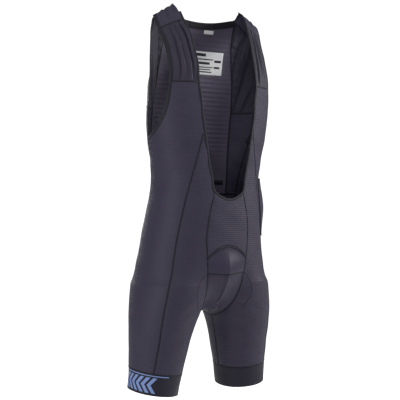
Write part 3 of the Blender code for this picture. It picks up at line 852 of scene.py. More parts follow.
CREASES: tuple[Crease, ...] = (
    # creases that run from the crotch into the front of the thigh
    Crease((0.040, -0.070, -0.705), (0.120, -0.080, -0.735), 0.007, -0.0022, (0.0, 0.0, 0.008)),
    Crease((0.045, -0.068, -0.722), (0.105, -0.072, -0.762), 0.006, -0.0018, (0.0, 0.0, 0.006)),
    Crease((0.042, -0.045, -0.740), (0.085, -0.060, -0.785), 0.006, -0.0015),
    Crease((0.050, -0.095, -0.690), (0.110, -0.095, -0.690), 0.010, 0.0012, (0.0, 0.0, -0.006)),
    # slack at the waist, on the flank
    Crease((0.120, -0.060, -0.400), (0.132, 0.020, -0.425), 0.012, -0.0020, (0.0, 0.0, -0.008)),
    Crease((0.110, -0.075, -0.440), (0.133, 0.010, -0.452), 0.010, 0.0016, (0.0, 0.0, -0.008)),
    Crease((0.128, -0.030, -0.345), (0.130, 0.045, -0.372), 0.010, -0.0018),
    Crease((0.080, -0.098, -0.330), (0.128, -0.050, -0.372), 0.012, -0.0014),
    Crease((0.090, -0.098, -0.225), (0.136, -0.055, -0.290), 0.013, -0.0012, (0.004, 0.0, 0.006)),
    # above the hem behind the leg, and over the seat
    Crease((0.060, 0.098, -0.735), (0.150, 0.070, -0.750), 0.008, -0.0024, (0.0, 0.0, 0.010)),
    Crease((0.060, 0.092, -0.765), (0.140, 0.075, -0.785), 0.008, -0.0020, (0.0, 0.0, 0.008)),
    Crease((0.075, 0.088, -0.800), (0.150, 0.062, -0.806), 0.007, -0.0016, (0.0, 0.0, 0.006)),
    Crease((0.030, 0.112, -0.640), (0.110, 0.112, -0.690), 0.014, -0.0016),
    Crease((0.020, 0.100, -0.480), (0.120, 0.085, -0.500), 0.014, -0.0016, (0.0, 0.0, -0.010)),
    # lower leg
    Crease((0.150, -0.020, -0.800), (0.172, 0.035, -0.815), 0.008, -0.0014, (0.0, 0.0, 0.008)),
    Crease((0.085, -0.045, -0.835), (0.140, -0.045, -0.842), 0.007, -0.0010, (0.0, 0.0, 0.006)),
    # long folds in the back panel, below the elastic's reach
    Crease((0.094, 0.050, -0.300), (0.055, 0.066, -0.375), 0.006, 0.0030, (0.0, 0.0, 0.0), False),
    Crease((0.060, 0.066, -0.365), (0.048, 0.080, -0.430), 0.005, 0.0024, (0.003, 0.0, 0.0), False),
    Crease((0.097, 0.048, -0.300), (0.098, 0.056, -0.400), 0.006, -0.0022, (0.004, 0.0, 0.0), False),
    Crease((-0.090, 0.050, -0.310), (-0.060, 0.066, -0.390), 0.008, -0.0022, (0.0, 0.0, 0.0), False),
    Crease((-0.020, 0.045, -0.200), (0.030, 0.050, -0.235), 0.010, -0.0012, (0.0, 0.0, 0.0), False),
)


# The cloth's unevenness: its height, and three waves' turning along x, y and z, in radians to a metre.
UNEVEN: float = 0.00032
UNEVEN_WAVES: tuple[Place, ...] = ((61.0, 0.0, 23.0), (0.0, -31.0, 47.0), (70.0, -59.0, 113.0))


def creased(point: Array) -> Array:
    """Height that all the creases and a slight unevenness of the cloth give to points.

    Args:
        point: Places, with x, y and z on the last axis.

    Returns:
        The heights.
    """
    total = sum(crease.lift(point) for crease in CREASES)
    first, second, third = (point @ np.array(wave) for wave in UNEVEN_WAVES)
    return total + UNEVEN * (np.sin(first + 1.3) * np.sin(second) + 0.6 * np.sin(third))


def refined(grid: Array, spacing: float) -> Array:
    """A finer grid through the points of a grid.

    Each row of intervals is divided by its own mean length. Between two points runs the cubic whose slopes
    are those of the parabola through each point and its neighbours.

    Args:
        grid: Points, as rows by columns by 3.
        spacing: Distance between the new points, in metres.

    Returns:
        The finer grid, which holds the old points.
    """
    for axis in (0, 1):
        line = np.moveaxis(grid, axis, 0)
        span = np.linalg.norm(np.diff(line, axis=0), axis=-1).mean(1)[:, None, None]
        slope = np.diff(line, axis=0) / span
        inner = (slope[:-1] * span[1:] + slope[1:] * span[:-1]) / (span[1:] + span[:-1])
        tangent = np.concatenate([slope[:1], inner, slope[-1:]])
        found = []
        for i, length in enumerate(span[:, 0, 0]):
            count = max(1, round(length / spacing))
            u = (np.arange(count) / count)[:, None, None]
            ends = line[i] * (1 + 2 * u) * (1 - u) ** 2 + line[i + 1] * u * u * (3 - 2 * u)
            bend = tangent[i] * u * (1 - u) ** 2 + tangent[i + 1] * u * u * (u - 1)
            found.append(ends + length * bend)
        grid = np.moveaxis(np.concatenate([*found, line[-1:]]), 0, axis)
    return grid


def trimmed(grid: Array, gap: float, closed: bool) -> Array:
    """The grid with its outer edges drawn in by a gap.

    Args:
        grid: Points, as rows by columns by 3.
        gap: How far they are drawn in.
        closed: Whether its columns run round, so that only two edges are free.

    Returns:
        The new grid.
    """
    grid = grid.copy()
    for axis in (0,) if closed else (0, 1):
        line = np.moveaxis(grid, axis, 0)
        for edge, inner in ((0, 1), (-1, -2)):
            line[edge] += gap * _unit(line[inner] - line[edge])
    return grid


def lengths(grid: Array) -> tuple[Array, Array]:
    """Distances in metres along the columns and down the rows of a grid, as means over the other
    direction.

    Args:
        grid: Points, as rows by columns by 3.

    Returns:
        The distances across, and those down.
    """
    across = np.linalg.norm(np.diff(grid, axis=1), axis=-1).mean(0)
    down = np.linalg.norm(np.diff(grid, axis=0), axis=-1).mean(1)
    return np.concatenate([[0], np.cumsum(across)]), np.concatenate([[0], np.cumsum(down)])


@dataclass
class Piece:
    """A mesh of quads with real-size UVs, gathered from one or more parts.

    Attributes:
        name: Object name.
        finish: Key of the finish.
        points: Vertices of each part.
        quads: Faces of each part.
        maps: UVs of each part, one for each vertex.
    """

    name: str
    finish: str
    points: list[Array] = field(default_factory=list)
    quads: list[Array] = field(default_factory=list)
    maps: list[Array] = field(default_factory=list)

    def add(self, points: Array, quads: Array, uv: Array | None = None) -> None:
        """Adds a part to the mesh.

        Args:
            points: Its vertices.
            quads: Its faces, as numbers of those vertices.
            uv: UVs of the vertices, or none for a part with no pattern.
        """
        offset = sum(len(p) for p in self.points)
        self.points.append(points)
        self.quads.append(quads + offset)
        self.maps.append(np.zeros((len(points), 2)) if uv is None else uv)

    def build(self, material: bpy.types.Material, mirror: int = 1) -> bpy.types.Object:
        """Makes the object, with its faces turned outwards.

        Args:
            material: Its material.
            mirror: 1 for the wearer's left and -1 for the right.

        Returns:
            The object.
        """
        points = np.concatenate(self.points) * (mirror, 1, 1)
        quads = np.concatenate(self.quads)
        a, b, c, d = (points[quads[:, k]] for k in range(4))
        volume = (np.einsum("ij,ij->i", a, np.cross(b, c)) + np.einsum("ij,ij->i", a, np.cross(c, d))).sum()
        if volume < 0:
            quads = quads[:, ::-1]
        mesh = bpy.data.meshes.new(self.name)
        mesh.from_pydata(points.tolist(), [], quads.tolist())
        uv = np.concatenate(self.maps)
        mesh.uv_layers.new(name="cut").data.foreach_set("uv", uv[quads.ravel()].astype(np.float32).ravel())
        mesh.shade_smooth()
        mesh.materials.append(material)
        thing = bpy.data.objects.new(self.name, mesh)
        bpy.context.scene.collection.objects.link(thing)
        log.info("%s: %d quads, %s", self.name, len(quads), self.finish)
        return thing


def shell_quads(rows: int, columns: int, closed: bool) -> Array:
    """Quads of a thin shell on a grid: its outside, its inside and its rim.

    Args:
        rows: Rows of the grid.
        columns: Its columns.
        closed: Whether the columns run round.

    Returns:
        The faces. The inside's points follow the outside's.
    """
    count = rows * columns
    span = columns if closed else columns - 1
    r, c = (v.ravel() for v in np.meshgrid(np.arange(rows - 1), np.arange(span), indexing="ij"))
    a, b = r * columns + c, r * columns + (c + 1) % columns
    outside = np.stack([a, b, b + columns, a + columns], 1)
    c = np.arange(span)
    n, last = (c + 1) % columns, (rows - 1) * columns
    rims = [
        np.stack([n, c, c + count, n + count], 1),
        np.stack([last + c, last + n, last + n + count, last + c + count], 1),
    ]
    if not closed:
        r = np.arange(rows - 1) * columns
        end = r + columns - 1
        rims.append(np.stack([r, r + columns, r + columns + count, r + count], 1))
        rims.append(np.stack([end + columns, end, end + count, end + columns + count], 1))
    return np.concatenate([outside, outside[:, ::-1] + count, *rims])


def tube_quads(count: int, sides: int, closed: bool) -> Array:
    """Quads of a tube of rings, with its ends filled where it isn't closed.

    Args:
        count: How many rings there are.
        sides: Points of each ring.
        closed: Whether the last ring joins the first.

    Returns:
        The faces.
    """
    r = np.arange(count if closed else count - 1)
    n = (r + 1) % count
    faces = []
    for k in range(sides):
        m = (k + 1) % sides
        faces.append(np.stack([r * sides + k, r * sides + m, n * sides + m, n * sides + k], 1))
    if not closed:
        for base, turn in ((0, -1), ((count - 1) * sides, 1)):
            k = base + np.arange(sides // 2 - 1)
            far = 2 * base + sides - 1 - k
            faces.append(np.stack([k, k + 1, far - 1, far], 1)[:, ::turn])
    return np.concatenate(faces)


def oval_profile(width: float, wall: float, sides: int = 10) -> tuple[tuple[float, float], ...]:
    """Points of a rounded flat section: how far along the cloth and how high each one is.

    Args:
        width: Width of the section.
        wall: Its thickness.
        sides: How many points it has.

    Returns:
        The points.
    """
    angle = np.arange(sides) * 2 * np.pi / sides + np.pi / sides
    x = np.sign(np.cos(angle)) * np.abs(np.cos(angle)) ** 0.6 * width / 2
    y = np.sign(np.sin(angle)) * np.abs(np.sin(angle)) ** 0.8 * wall / 2
    return tuple(zip(x.tolist(), y.tolist()))


class Graph:
    """Short ways to build a node tree.

    Attributes:
        tree: The tree that nodes are added to.
    """

    def __init__(self, tree: bpy.types.NodeTree) -> None:
        """Takes the tree."""
        self.tree = tree

    def node(self, kind: str, **values: object) -> bpy.types.Node:
        """Adds a node and sets its properties.

        Args:
            kind: The node's type.
            values: Properties and their values.

        Returns:
            The node.
        """
        made = self.tree.nodes.new(kind)
        for key, value in values.items():
            setattr(made, key, value)
        return made

    def feed(self, socket: Socket, value: Socket | float) -> None:
        """Links a socket to another, or sets its constant.

        Args:
            socket: The input.
            value: An output, or a constant.
        """
        if isinstance(value, bpy.types.NodeSocket):
            self.tree.links.new(value, socket)
        else:
            socket.default_value = value

    def math(self, operation: str, *values: Socket | float) -> Socket:
        """A math node on sockets or constants.

        Args:
            operation: What it works out.
            values: Its inputs, in order.

        Returns:
            Its output.
        """
        made = self.node("ShaderNodeMath", operation=operation)
        for socket, value in zip(made.inputs, values):
            self.feed(socket, value)
        return made.outputs[0]

    def wave(self, value: Socket, pitch: float) -> Socket:
        """A sine of a length, from 0 to 1, that repeats at a pitch in metres."""
        angle = self.math("MULTIPLY", value, 2 * math.pi / pitch)
        return self.math("MULTIPLY_ADD", self.math("SINE", angle), 0.5, 0.5)

    def within(self, value: Socket, low: float, high: float) -> Socket:
        """1 between two values and 0 outside."""
        above = self.math("GREATER_THAN", value, low)
        return self.math("MULTIPLY", above, self.math("LESS_THAN", value, high))


class Shaders:
    """The weave groups, each made once, and the materials that share them.

    Attributes:
        groups: The node group of each weave.
        made: The materials made so far, by finish.
    """

    def __init__(self) -> None:
        """Makes the weave groups."""
        self.groups: dict[Weave, bpy.types.NodeTree] = {}
        self.made: dict[str, bpy.types.Material] = {}
        builders: dict[Weave, Callable] = {
            Weave.RIB: self._rib, Weave.NET: self._net, Weave.BAR: self._bar,
            Weave.PLAIN: self._plain, Weave.PRINT: self._plain,
        }
        for weave, fill in builders.items():
            self.groups[weave] = self._group(weave, fill)

    @staticmethod
    def _group(weave: Weave, fill: Callable) -> bpy.types.NodeTree:
        """A group that turns the cut's UV and the place on the garment into a height and a yarn mask.

        Args:
            weave: Which weave it makes.
            fill: The method that makes its inside.

        Returns:
            The group.
        """
        tree = bpy.data.node_groups.new(f"weave_{weave.value}", "ShaderNodeTree")
        for name, kind, way in (
            ("Cut", "NodeSocketVector", "INPUT"), ("Place", "NodeSocketVector", "INPUT"),
            ("Height", "NodeSocketFloat", "OUTPUT"), ("Yarn", "NodeSocketFloat", "OUTPUT"),
        ):
            tree.interface.new_socket(name=name, in_out=way, socket_type=kind)
        graph = Graph(tree)
        source, sink = graph.node("NodeGroupInput"), graph.node("NodeGroupOutput")
        cut, place = graph.node("ShaderNodeSeparateXYZ"), graph.node("ShaderNodeSeparateXYZ")
        graph.feed(cut.inputs[0], source.outputs["Cut"])
        graph.feed(place.inputs[0], source.outputs["Place"])
        height, yarn = fill(graph, cut.outputs, place.outputs, source.outputs["Place"])
        graph.feed(sink.inputs["Height"], height)
        graph.feed(sink.inputs["Yarn"], yarn)
        return tree

    @staticmethod
    def _rib(graph: Graph, cut: Sockets, place: Sockets, spot: Socket) -> tuple[Socket, Socket]:
        """Fine level ribs over a knitted ground.

        Args:
            graph: The group that is filled.
            cut: The cut's UV, as sockets.
            place: The place on the garment, as sockets.
            spot: The same place, as one vector; not used.

        Returns:
            Height, and where the yarn lies.
        """
        rib = graph.wave(place[2], YARN.rib)
        stitch = graph.math("MULTIPLY", graph.wave(cut[0], YARN.stitch), graph.wave(cut[1], YARN.stitch))
        height = graph.math("MULTIPLY_ADD", rib, 0.75, graph.math("MULTIPLY", stitch, 0.35))
        return height, graph.math("MULTIPLY_ADD", rib, 0.55, 0.40)

    @staticmethod
    def _net(graph: Graph, cut: Sockets, place: Sockets, spot: Socket) -> tuple[Socket, Socket]:
        """A net of small holes in staggered rows.

        Args:
            graph: The group that is filled.
            cut: The cut's UV, as sockets.
            place: The place on the garment, as sockets; not used.
            spot: The same place, as one vector; not used.

        Returns:
            Height, and where the yarn lies.
        """
        one = graph.wave(graph.math("ADD", cut[0], cut[1]), YARN.hole)
        other = graph.wave(graph.math("SUBTRACT", cut[0], cut[1]), YARN.hole)
        hole = graph.math("MULTIPLY", one, other)
        height = graph.math("SUBTRACT", 1.0, hole)
        return height, graph.math("SUBTRACT", 1.0, graph.math("MULTIPLY", hole, 0.85))

    @staticmethod
    def _bar(graph: Graph, cut: Sockets, place: Sockets, spot: Socket) -> tuple[Socket, Socket]:
        """Close stitches across a seam or a binding.

        Args:
            graph: The group that is filled.
            cut: The cut's UV, as sockets.
            place: The place on the garment, as sockets; not used.
            spot: The same place, as one vector; not used.

        Returns:
            Height, and where the yarn lies.
        """
        stitch = graph.wave(cut[0], YARN.bar)
        return stitch, graph.math("MULTIPLY_ADD", stitch, 0.7, 0.3)

    @staticmethod
    def _plain(graph: Graph, cut: Sockets, place: Sockets, spot: Socket) -> tuple[Socket, Socket]:
        """A smooth knit with the least of grain.

        Args:
            graph: The group that is filled.
            cut: The cut's UV, as sockets; not used.
            place: The place on the garment, as sockets; not used.
            spot: The same place, as one vector.

        Returns:
            Height, and where the yarn lies.
        """
        noise = graph.node("ShaderNodeTexNoise")
        noise.inputs["Scale"].default_value = YARN.grain
        graph.feed(noise.inputs["Vector"], spot)
        return noise.outputs[0], graph.math("MULTIPLY_ADD", noise.outputs[0], 0.4, 0.6)

    @staticmethod
    def _print_mask(graph: Graph, cut: Sockets) -> Socket:
        """Where the leg band is printed: plain chevrons on its outer side, under a thin line.

        Args:
            graph: The material's tree.
            cut: The cut's UV, as sockets.

        Returns:
            1 on the print and 0 beside it.
        """
        mark = LEG_PRINT
        fold = graph.math("ABSOLUTE", graph.math("SUBTRACT", cut[1], mark.fold))
        lean = graph.math("ADD", cut[0], graph.math("MULTIPLY", fold, mark.slant))
        share = graph.math("FRACT", graph.math("DIVIDE", lean, mark.pitch))
        inked = graph.math("LESS_THAN", share, mark.share)
        bars = graph.math("MULTIPLY", inked, graph.within(cut[1], *mark.bars_down))
        bars = graph.math("MULTIPLY", bars, graph.within(lean, *mark.bars_round))
        down = graph.within(cut[1], *mark.line_down)
        line = graph.math("MULTIPLY", down, graph.within(cut[0], *mark.line_round))
        return graph.math("MAXIMUM", bars, line)

    def material(self, name: str) -> bpy.types.Material:
        """The material of a finish, made the first time it is asked for.

        Args:
            name: Key of the finish.

        Returns:
            The material.
        """
        if name in self.made:
            return self.made[name]
        finish = FINISHES[name]
        material = bpy.data.materials.new(name)
        material.use_nodes = True
        graph = Graph(material.node_tree)
        shader = material.node_tree.nodes["Principled BSDF"]
        cut, place = graph.node("ShaderNodeUVMap", uv_map="cut"), graph.node("ShaderNodeTexCoord")
        weave = graph.node("ShaderNodeGroup", node_tree=self.groups[finish.weave])
        graph.feed(weave.inputs["Cut"], cut.outputs["UV"])
        graph.feed(weave.inputs["Place"], place.outputs["Object"])
        mix = graph.node("ShaderNodeMix", data_type="RGBA")
        graph.feed(mix.inputs[0], weave.outputs["Yarn"])
        mix.inputs[6].default_value = (*finish.shade, 1.0)
        mix.inputs[7].default_value = (*finish.colour, 1.0)
        colour = mix.outputs[2]
        if finish.weave is Weave.PRINT:
            axes = graph.node("ShaderNodeSeparateXYZ")
            graph.feed(axes.inputs[0], cut.outputs["UV"])
            printed = graph.node("ShaderNodeMix", data_type="RGBA")
            graph.feed(printed.inputs[0], self._print_mask(graph, axes.outputs))
            graph.feed(printed.inputs[6], colour)
            printed.inputs[7].default_value = (*PRINT_COLOUR, 1.0)
            colour = printed.outputs[2]
        graph.feed(shader.inputs["Base Color"], colour)
        bump = graph.node("ShaderNodeBump")
        bump.inputs["Strength"].default_value = 1.0
        bump.inputs["Distance"].default_value = finish.relief
        graph.feed(bump.inputs["Height"], weave.outputs["Height"])
        graph.feed(shader.inputs["Normal"], bump.outputs["Normal"])
        shader.inputs["Roughness"].default_value = finish.roughness
        shader.inputs["Sheen Weight"].default_value = finish.sheen
        shader.inputs["Sheen Roughness"].default_value = 0.45
        shader.inputs["Specular IOR Level"].default_value = 0.35
        self.made[name] = material
        return material


@dataclass(frozen=True)
class Lamp:
    """One square soft light.

    Attributes:
        name: Object name.
        place: Where it hangs, in metres.
        size: Its side, in metres.
        power: Its power, in watts.
    """

    name: str
    place: Place
    size: float
    power: float


LAMPS: tuple[Lamp, ...] = (
    Lamp("key", (2.15, -1.35, 0.35), 0.8, 38.0),
    Lamp("near_camera", (-0.8, -1.4, 0.85), 0.8, 8.0),
    Lamp("left_fill", (-2.6, -0.30, 0.0), 1.2, 26.0),
    Lamp("top", (-0.2, -0.6, 1.9), 1.2, 5.0),
    Lamp("rear", (0.6, 2.0, 0.3), 1.6, 24.0),
)


@dataclass(frozen=True)
class Studio:
    """The camera, the lights and the floor.

    Attributes:
        azimuth: Degrees that the camera stands to the wearer's left of the front; negative is to the right.
        distance: Camera to the garment's middle, in metres.
        aside: How far the camera stands left of the middle, in metres.
        height: Camera height.
        lens: Focal length for the sensor width below, in millimetres.
        sensor: Sensor width, in millimetres.
        aim: Height that the lamps face.
        floor: Height of the floor.
        reach: Distance from the floor's middle to its sides.
        ambient: Strength of the world's light.
        paper: How much brighter the camera sees the background than the garment does.
    """

    azimuth: float = -36.0
    distance: float = 2.4
    aside: float = 0.0085
    height: float = -0.4627
    lens: float = 89.64
    sensor: float = 36.0
    aim: float = -0.45
    floor: float = -1.30
    reach: float = 14.0
    ambient: float = 0.09
    paper: float = 1.05

    def add_camera(self) -> None:
        """Places the camera level, as the photo was taken."""
        turn = math.radians(self.azimuth)
        back = Vector((math.sin(turn), -math.cos(turn), 0.0))
        right = Vector((math.cos(turn), math.sin(turn), 0.0))
        data = bpy.data.cameras.new("camera")
        data.lens, data.sensor_width = self.lens, self.sensor
        camera = bpy.data.objects.new("camera", data)
        camera.location = back * self.distance - right * self.aside + Vector((0, 0, self.height))
        camera.rotation_mode = "QUATERNION"
        camera.rotation_quaternion = (-back).to_track_quat("-Z", "Y")
        bpy.context.scene.collection.objects.link(camera)
        bpy.context.scene.camera = camera

    def add_lamp(self, lamp: Lamp) -> None:
        """Hangs a lamp, turned to the garment's middle.

        Args:
            lamp: Its sizes and place.
        """
        data = bpy.data.lights.new(lamp.name, "AREA")
        data.shape, data.size, data.energy = "SQUARE", lamp.size, lamp.power
        thing = bpy.data.objects.new(lamp.name, data)
        thing.location = lamp.place
        thing.rotation_mode = "QUATERNION"
        thing.rotation_quaternion = (Vector((0, 0, self.aim)) - thing.location).to_track_quat("-Z", "Y")
        bpy.context.scene.collection.objects.link(thing)

    def add_world(self) -> None:
        """A white world that the camera sees brighter than it shines."""
        world = bpy.data.worlds.new("world")
        world.use_nodes = True
        background = world.node_tree.nodes["Background"]
        background.inputs["Color"].default_value = (1.0, 1.0, 1.0, 1.0)
        graph = Graph(world.node_tree)
        seen = graph.node("ShaderNodeLightPath").outputs["Is Camera Ray"]
        graph.feed(background.inputs["Strength"], graph.math("MULTIPLY_ADD", seen, self.paper, self.ambient))
        bpy.context.scene.world = world

    def add_floor(self) -> None:
        """A pale floor that meets the world without an edge."""
        mesh = bpy.data.meshes.new("floor")
        signs = ((-1, -1), (1, -1), (1, 1), (-1, 1))
        corners = [(x * self.reach, y * self.reach, self.floor) for x, y in signs]
        mesh.from_pydata(corners, [], [(0, 1, 2, 3)])
        paint = bpy.data.materials.new("floor")
        paint.use_nodes = True
        shader = paint.node_tree.nodes["Principled BSDF"]
        shader.inputs["Base Color"].default_value = (0.92, 0.92, 0.92, 1.0)
        shader.inputs["Roughness"].default_value = 0.9
        shader.inputs["Emission Color"].default_value = (1.0, 1.0, 1.0, 1.0)
        graph = Graph(paint.node_tree)
        seen = graph.node("ShaderNodeLightPath").outputs["Is Camera Ray"]
        graph.feed(shader.inputs["Emission Strength"], graph.math("MULTIPLY", seen, self.paper))
        mesh.materials.append(paint)
        floor = bpy.data.objects.new("floor", mesh)
        bpy.context.scene.collection.objects.link(floor)

    def build(self) -> None:
        """Sets up the whole studio."""
        bpy.context.scene.view_settings.view_transform = "Standard"
        self.add_camera()
        for lamp in LAMPS:
            self.add_lamp(lamp)
        self.add_world()
        self.add_floor()


@dataclass(frozen=True)
class Cloth:
    """Sizes of the cloth and of what is sewn to it, in metres.

    Attributes:
        wall: Thickness of the cloth.
        frame_wall: Thickness of the cloth in the frame, which what lies on the cloth stands clear of.
        gap: Half the gap at a seam.
        pad_gap: Half the gap at the pad's edge.
        pitch: Distance between the points of a shell.
        fine_pitch: The same on the pad and the yoke, where the form turns faster.
        strap_pitch: The same on the gathered straps.
        mesh_pitch: The same on the slack mesh and the back panel.
        label_pitch: The same on the tape and the labels.
        seam_width: Width of a flat seam.
        seam_wall: Thickness of a flat seam.
        seam_lift: How far the middle of a seam lies off the cloth.
        gusset_seam: Width of the seams beside the gusset.
        inner_seam: Width of a seam's inner side.
        pad_seam: Width of the seams at the leg band and along the pad's arch.
        arch_wall: Thickness of the seam along the pad's arch.
        second_seam: Width of the second seam over the pad.
        second_row: Distance from the pad's arch to the second seam below it.
        binding_width: Width of a folded binding.
        binding_wall: Thickness of a folded binding.
        binding_hold: How much of a binding lies on the cloth.
        armhole_share: How many times as wide the armholes' bindings are.
        facing: Width, thickness and drop of a dark tape inside the back neckline; it is painted shade,
            standing in for the shade under the neck edge.
        cup_seam: Width and thickness of the level seam across the pad.
        stitch_line: Width and thickness of the pad's stitch line.
        gather: Height of the gathers in the front straps.
        slack: Height of the slanting folds of the slack mesh.
        ripple: Height of the level ripples in the back panel.
        ripple_pitch: Distance between the ripples.
        yoke_fold: Height of the folds over the shoulder.
        inner_crease: Share of the creases' height that shows on what lies inside.
        bulge: How far the pad stands out.
        pad_wall: Thickness of the pad.
        pocket_bulge: How far the pocket's mouth stands out.
        stand_off: Gap under what lies on a panel.
        tape_wall: Thickness of the elastic tape.
        label_wall: Thickness of a label.
        ink_wall: Thickness of the printing ink.
        leg_radius: Radius of the leg that the print is laid out on.
    """

    wall: float = 0.0014
    frame_wall: float = 0.0016
    gap: float = 0.00018
    pad_gap: float = 0.0010
    pitch: float = 0.0032
    fine_pitch: float = 0.002
    strap_pitch: float = 0.0018
    mesh_pitch: float = 0.0022
    label_pitch: float = 0.003
    seam_width: float = 0.0034
    seam_wall: float = 0.0012
    seam_lift: float = 0.0001
    gusset_seam: float = 0.00255
    inner_seam: float = 0.00391
    pad_seam: float = 0.00272
    arch_wall: float = 0.00156
    second_seam: float = 0.00204
    second_row: float = 0.0050
    binding_width: float = 0.0066
    binding_wall: float = 0.0026
    binding_hold: float = 0.0014
    armhole_share: float = 1.4
    facing: Place = (0.0110, 0.0010, 0.0062)
    cup_seam: Span = (0.0028, 0.0016)
    stitch_line: Span = (0.0016, 0.0007)
    gather: float = 0.0048
    slack: float = 0.0040
    ripple: float = 0.0007
    ripple_pitch: float = 0.0112
    yoke_fold: float = 0.0011
    inner_crease: float = 0.6
    bulge: float = 0.0120
    pad_wall: float = 0.0060
    pocket_bulge: float = 0.014
    stand_off: float = 0.0007
    tape_wall: float = 0.0010
    label_wall: float = 0.0005
    ink_wall: float = 0.0002
    leg_radius: float = 0.062


@dataclass(frozen=True)
class Wave:
    """One run of folds in a panel.

    Attributes:
        across: Folds from one side of the panel to the other.
        down: Folds from its top to its foot.
        phase: Angle at its first corner, in radians.
        share: Height beside that of the panel's main folds.
    """

    across: float
    down: float = 0.0
    phase: float = 0.0
    share: float = 1.0

    def lift(self, v: Array | float, u: Array) -> Array:
        """Height of the folds at shares down and across the panel."""
        return self.share * np.sin(2 * np.pi * (self.across * u + self.down * v) + self.phase)


GATHER_WAVES: tuple[Wave, ...] = (Wave(4.0), Wave(6.6, 1.5 / math.tau, 1.7, 0.45))
YOKE_WAVES: tuple[Wave, ...] = (Wave(3.1, 0.35), Wave(5.3, -0.3, 0.8, 0.5))
SLACK_WAVES: tuple[Wave, ...] = (Wave(1.0), Wave(2.3, 0.0, 1.1, 0.35))
SLACK_CRIMP: Wave = Wave(1.5, 11.0, 0.0, 0.25)

# The least flat size of a sheet in metres, and the least share of its rectangle that its cut fills.
LEAST_FLAT: float = 0.0101
LEAST_SHARE: float = 0.35

# Depths below the top of the shoulders between which a point comes to lie fully on the figure.
SHOULDER_DEPTHS: Span = (0.055, 0.085)

# The y, in front of the figure, from which the pad's stitch line is moved onto it.
PAD_START: float = -0.09


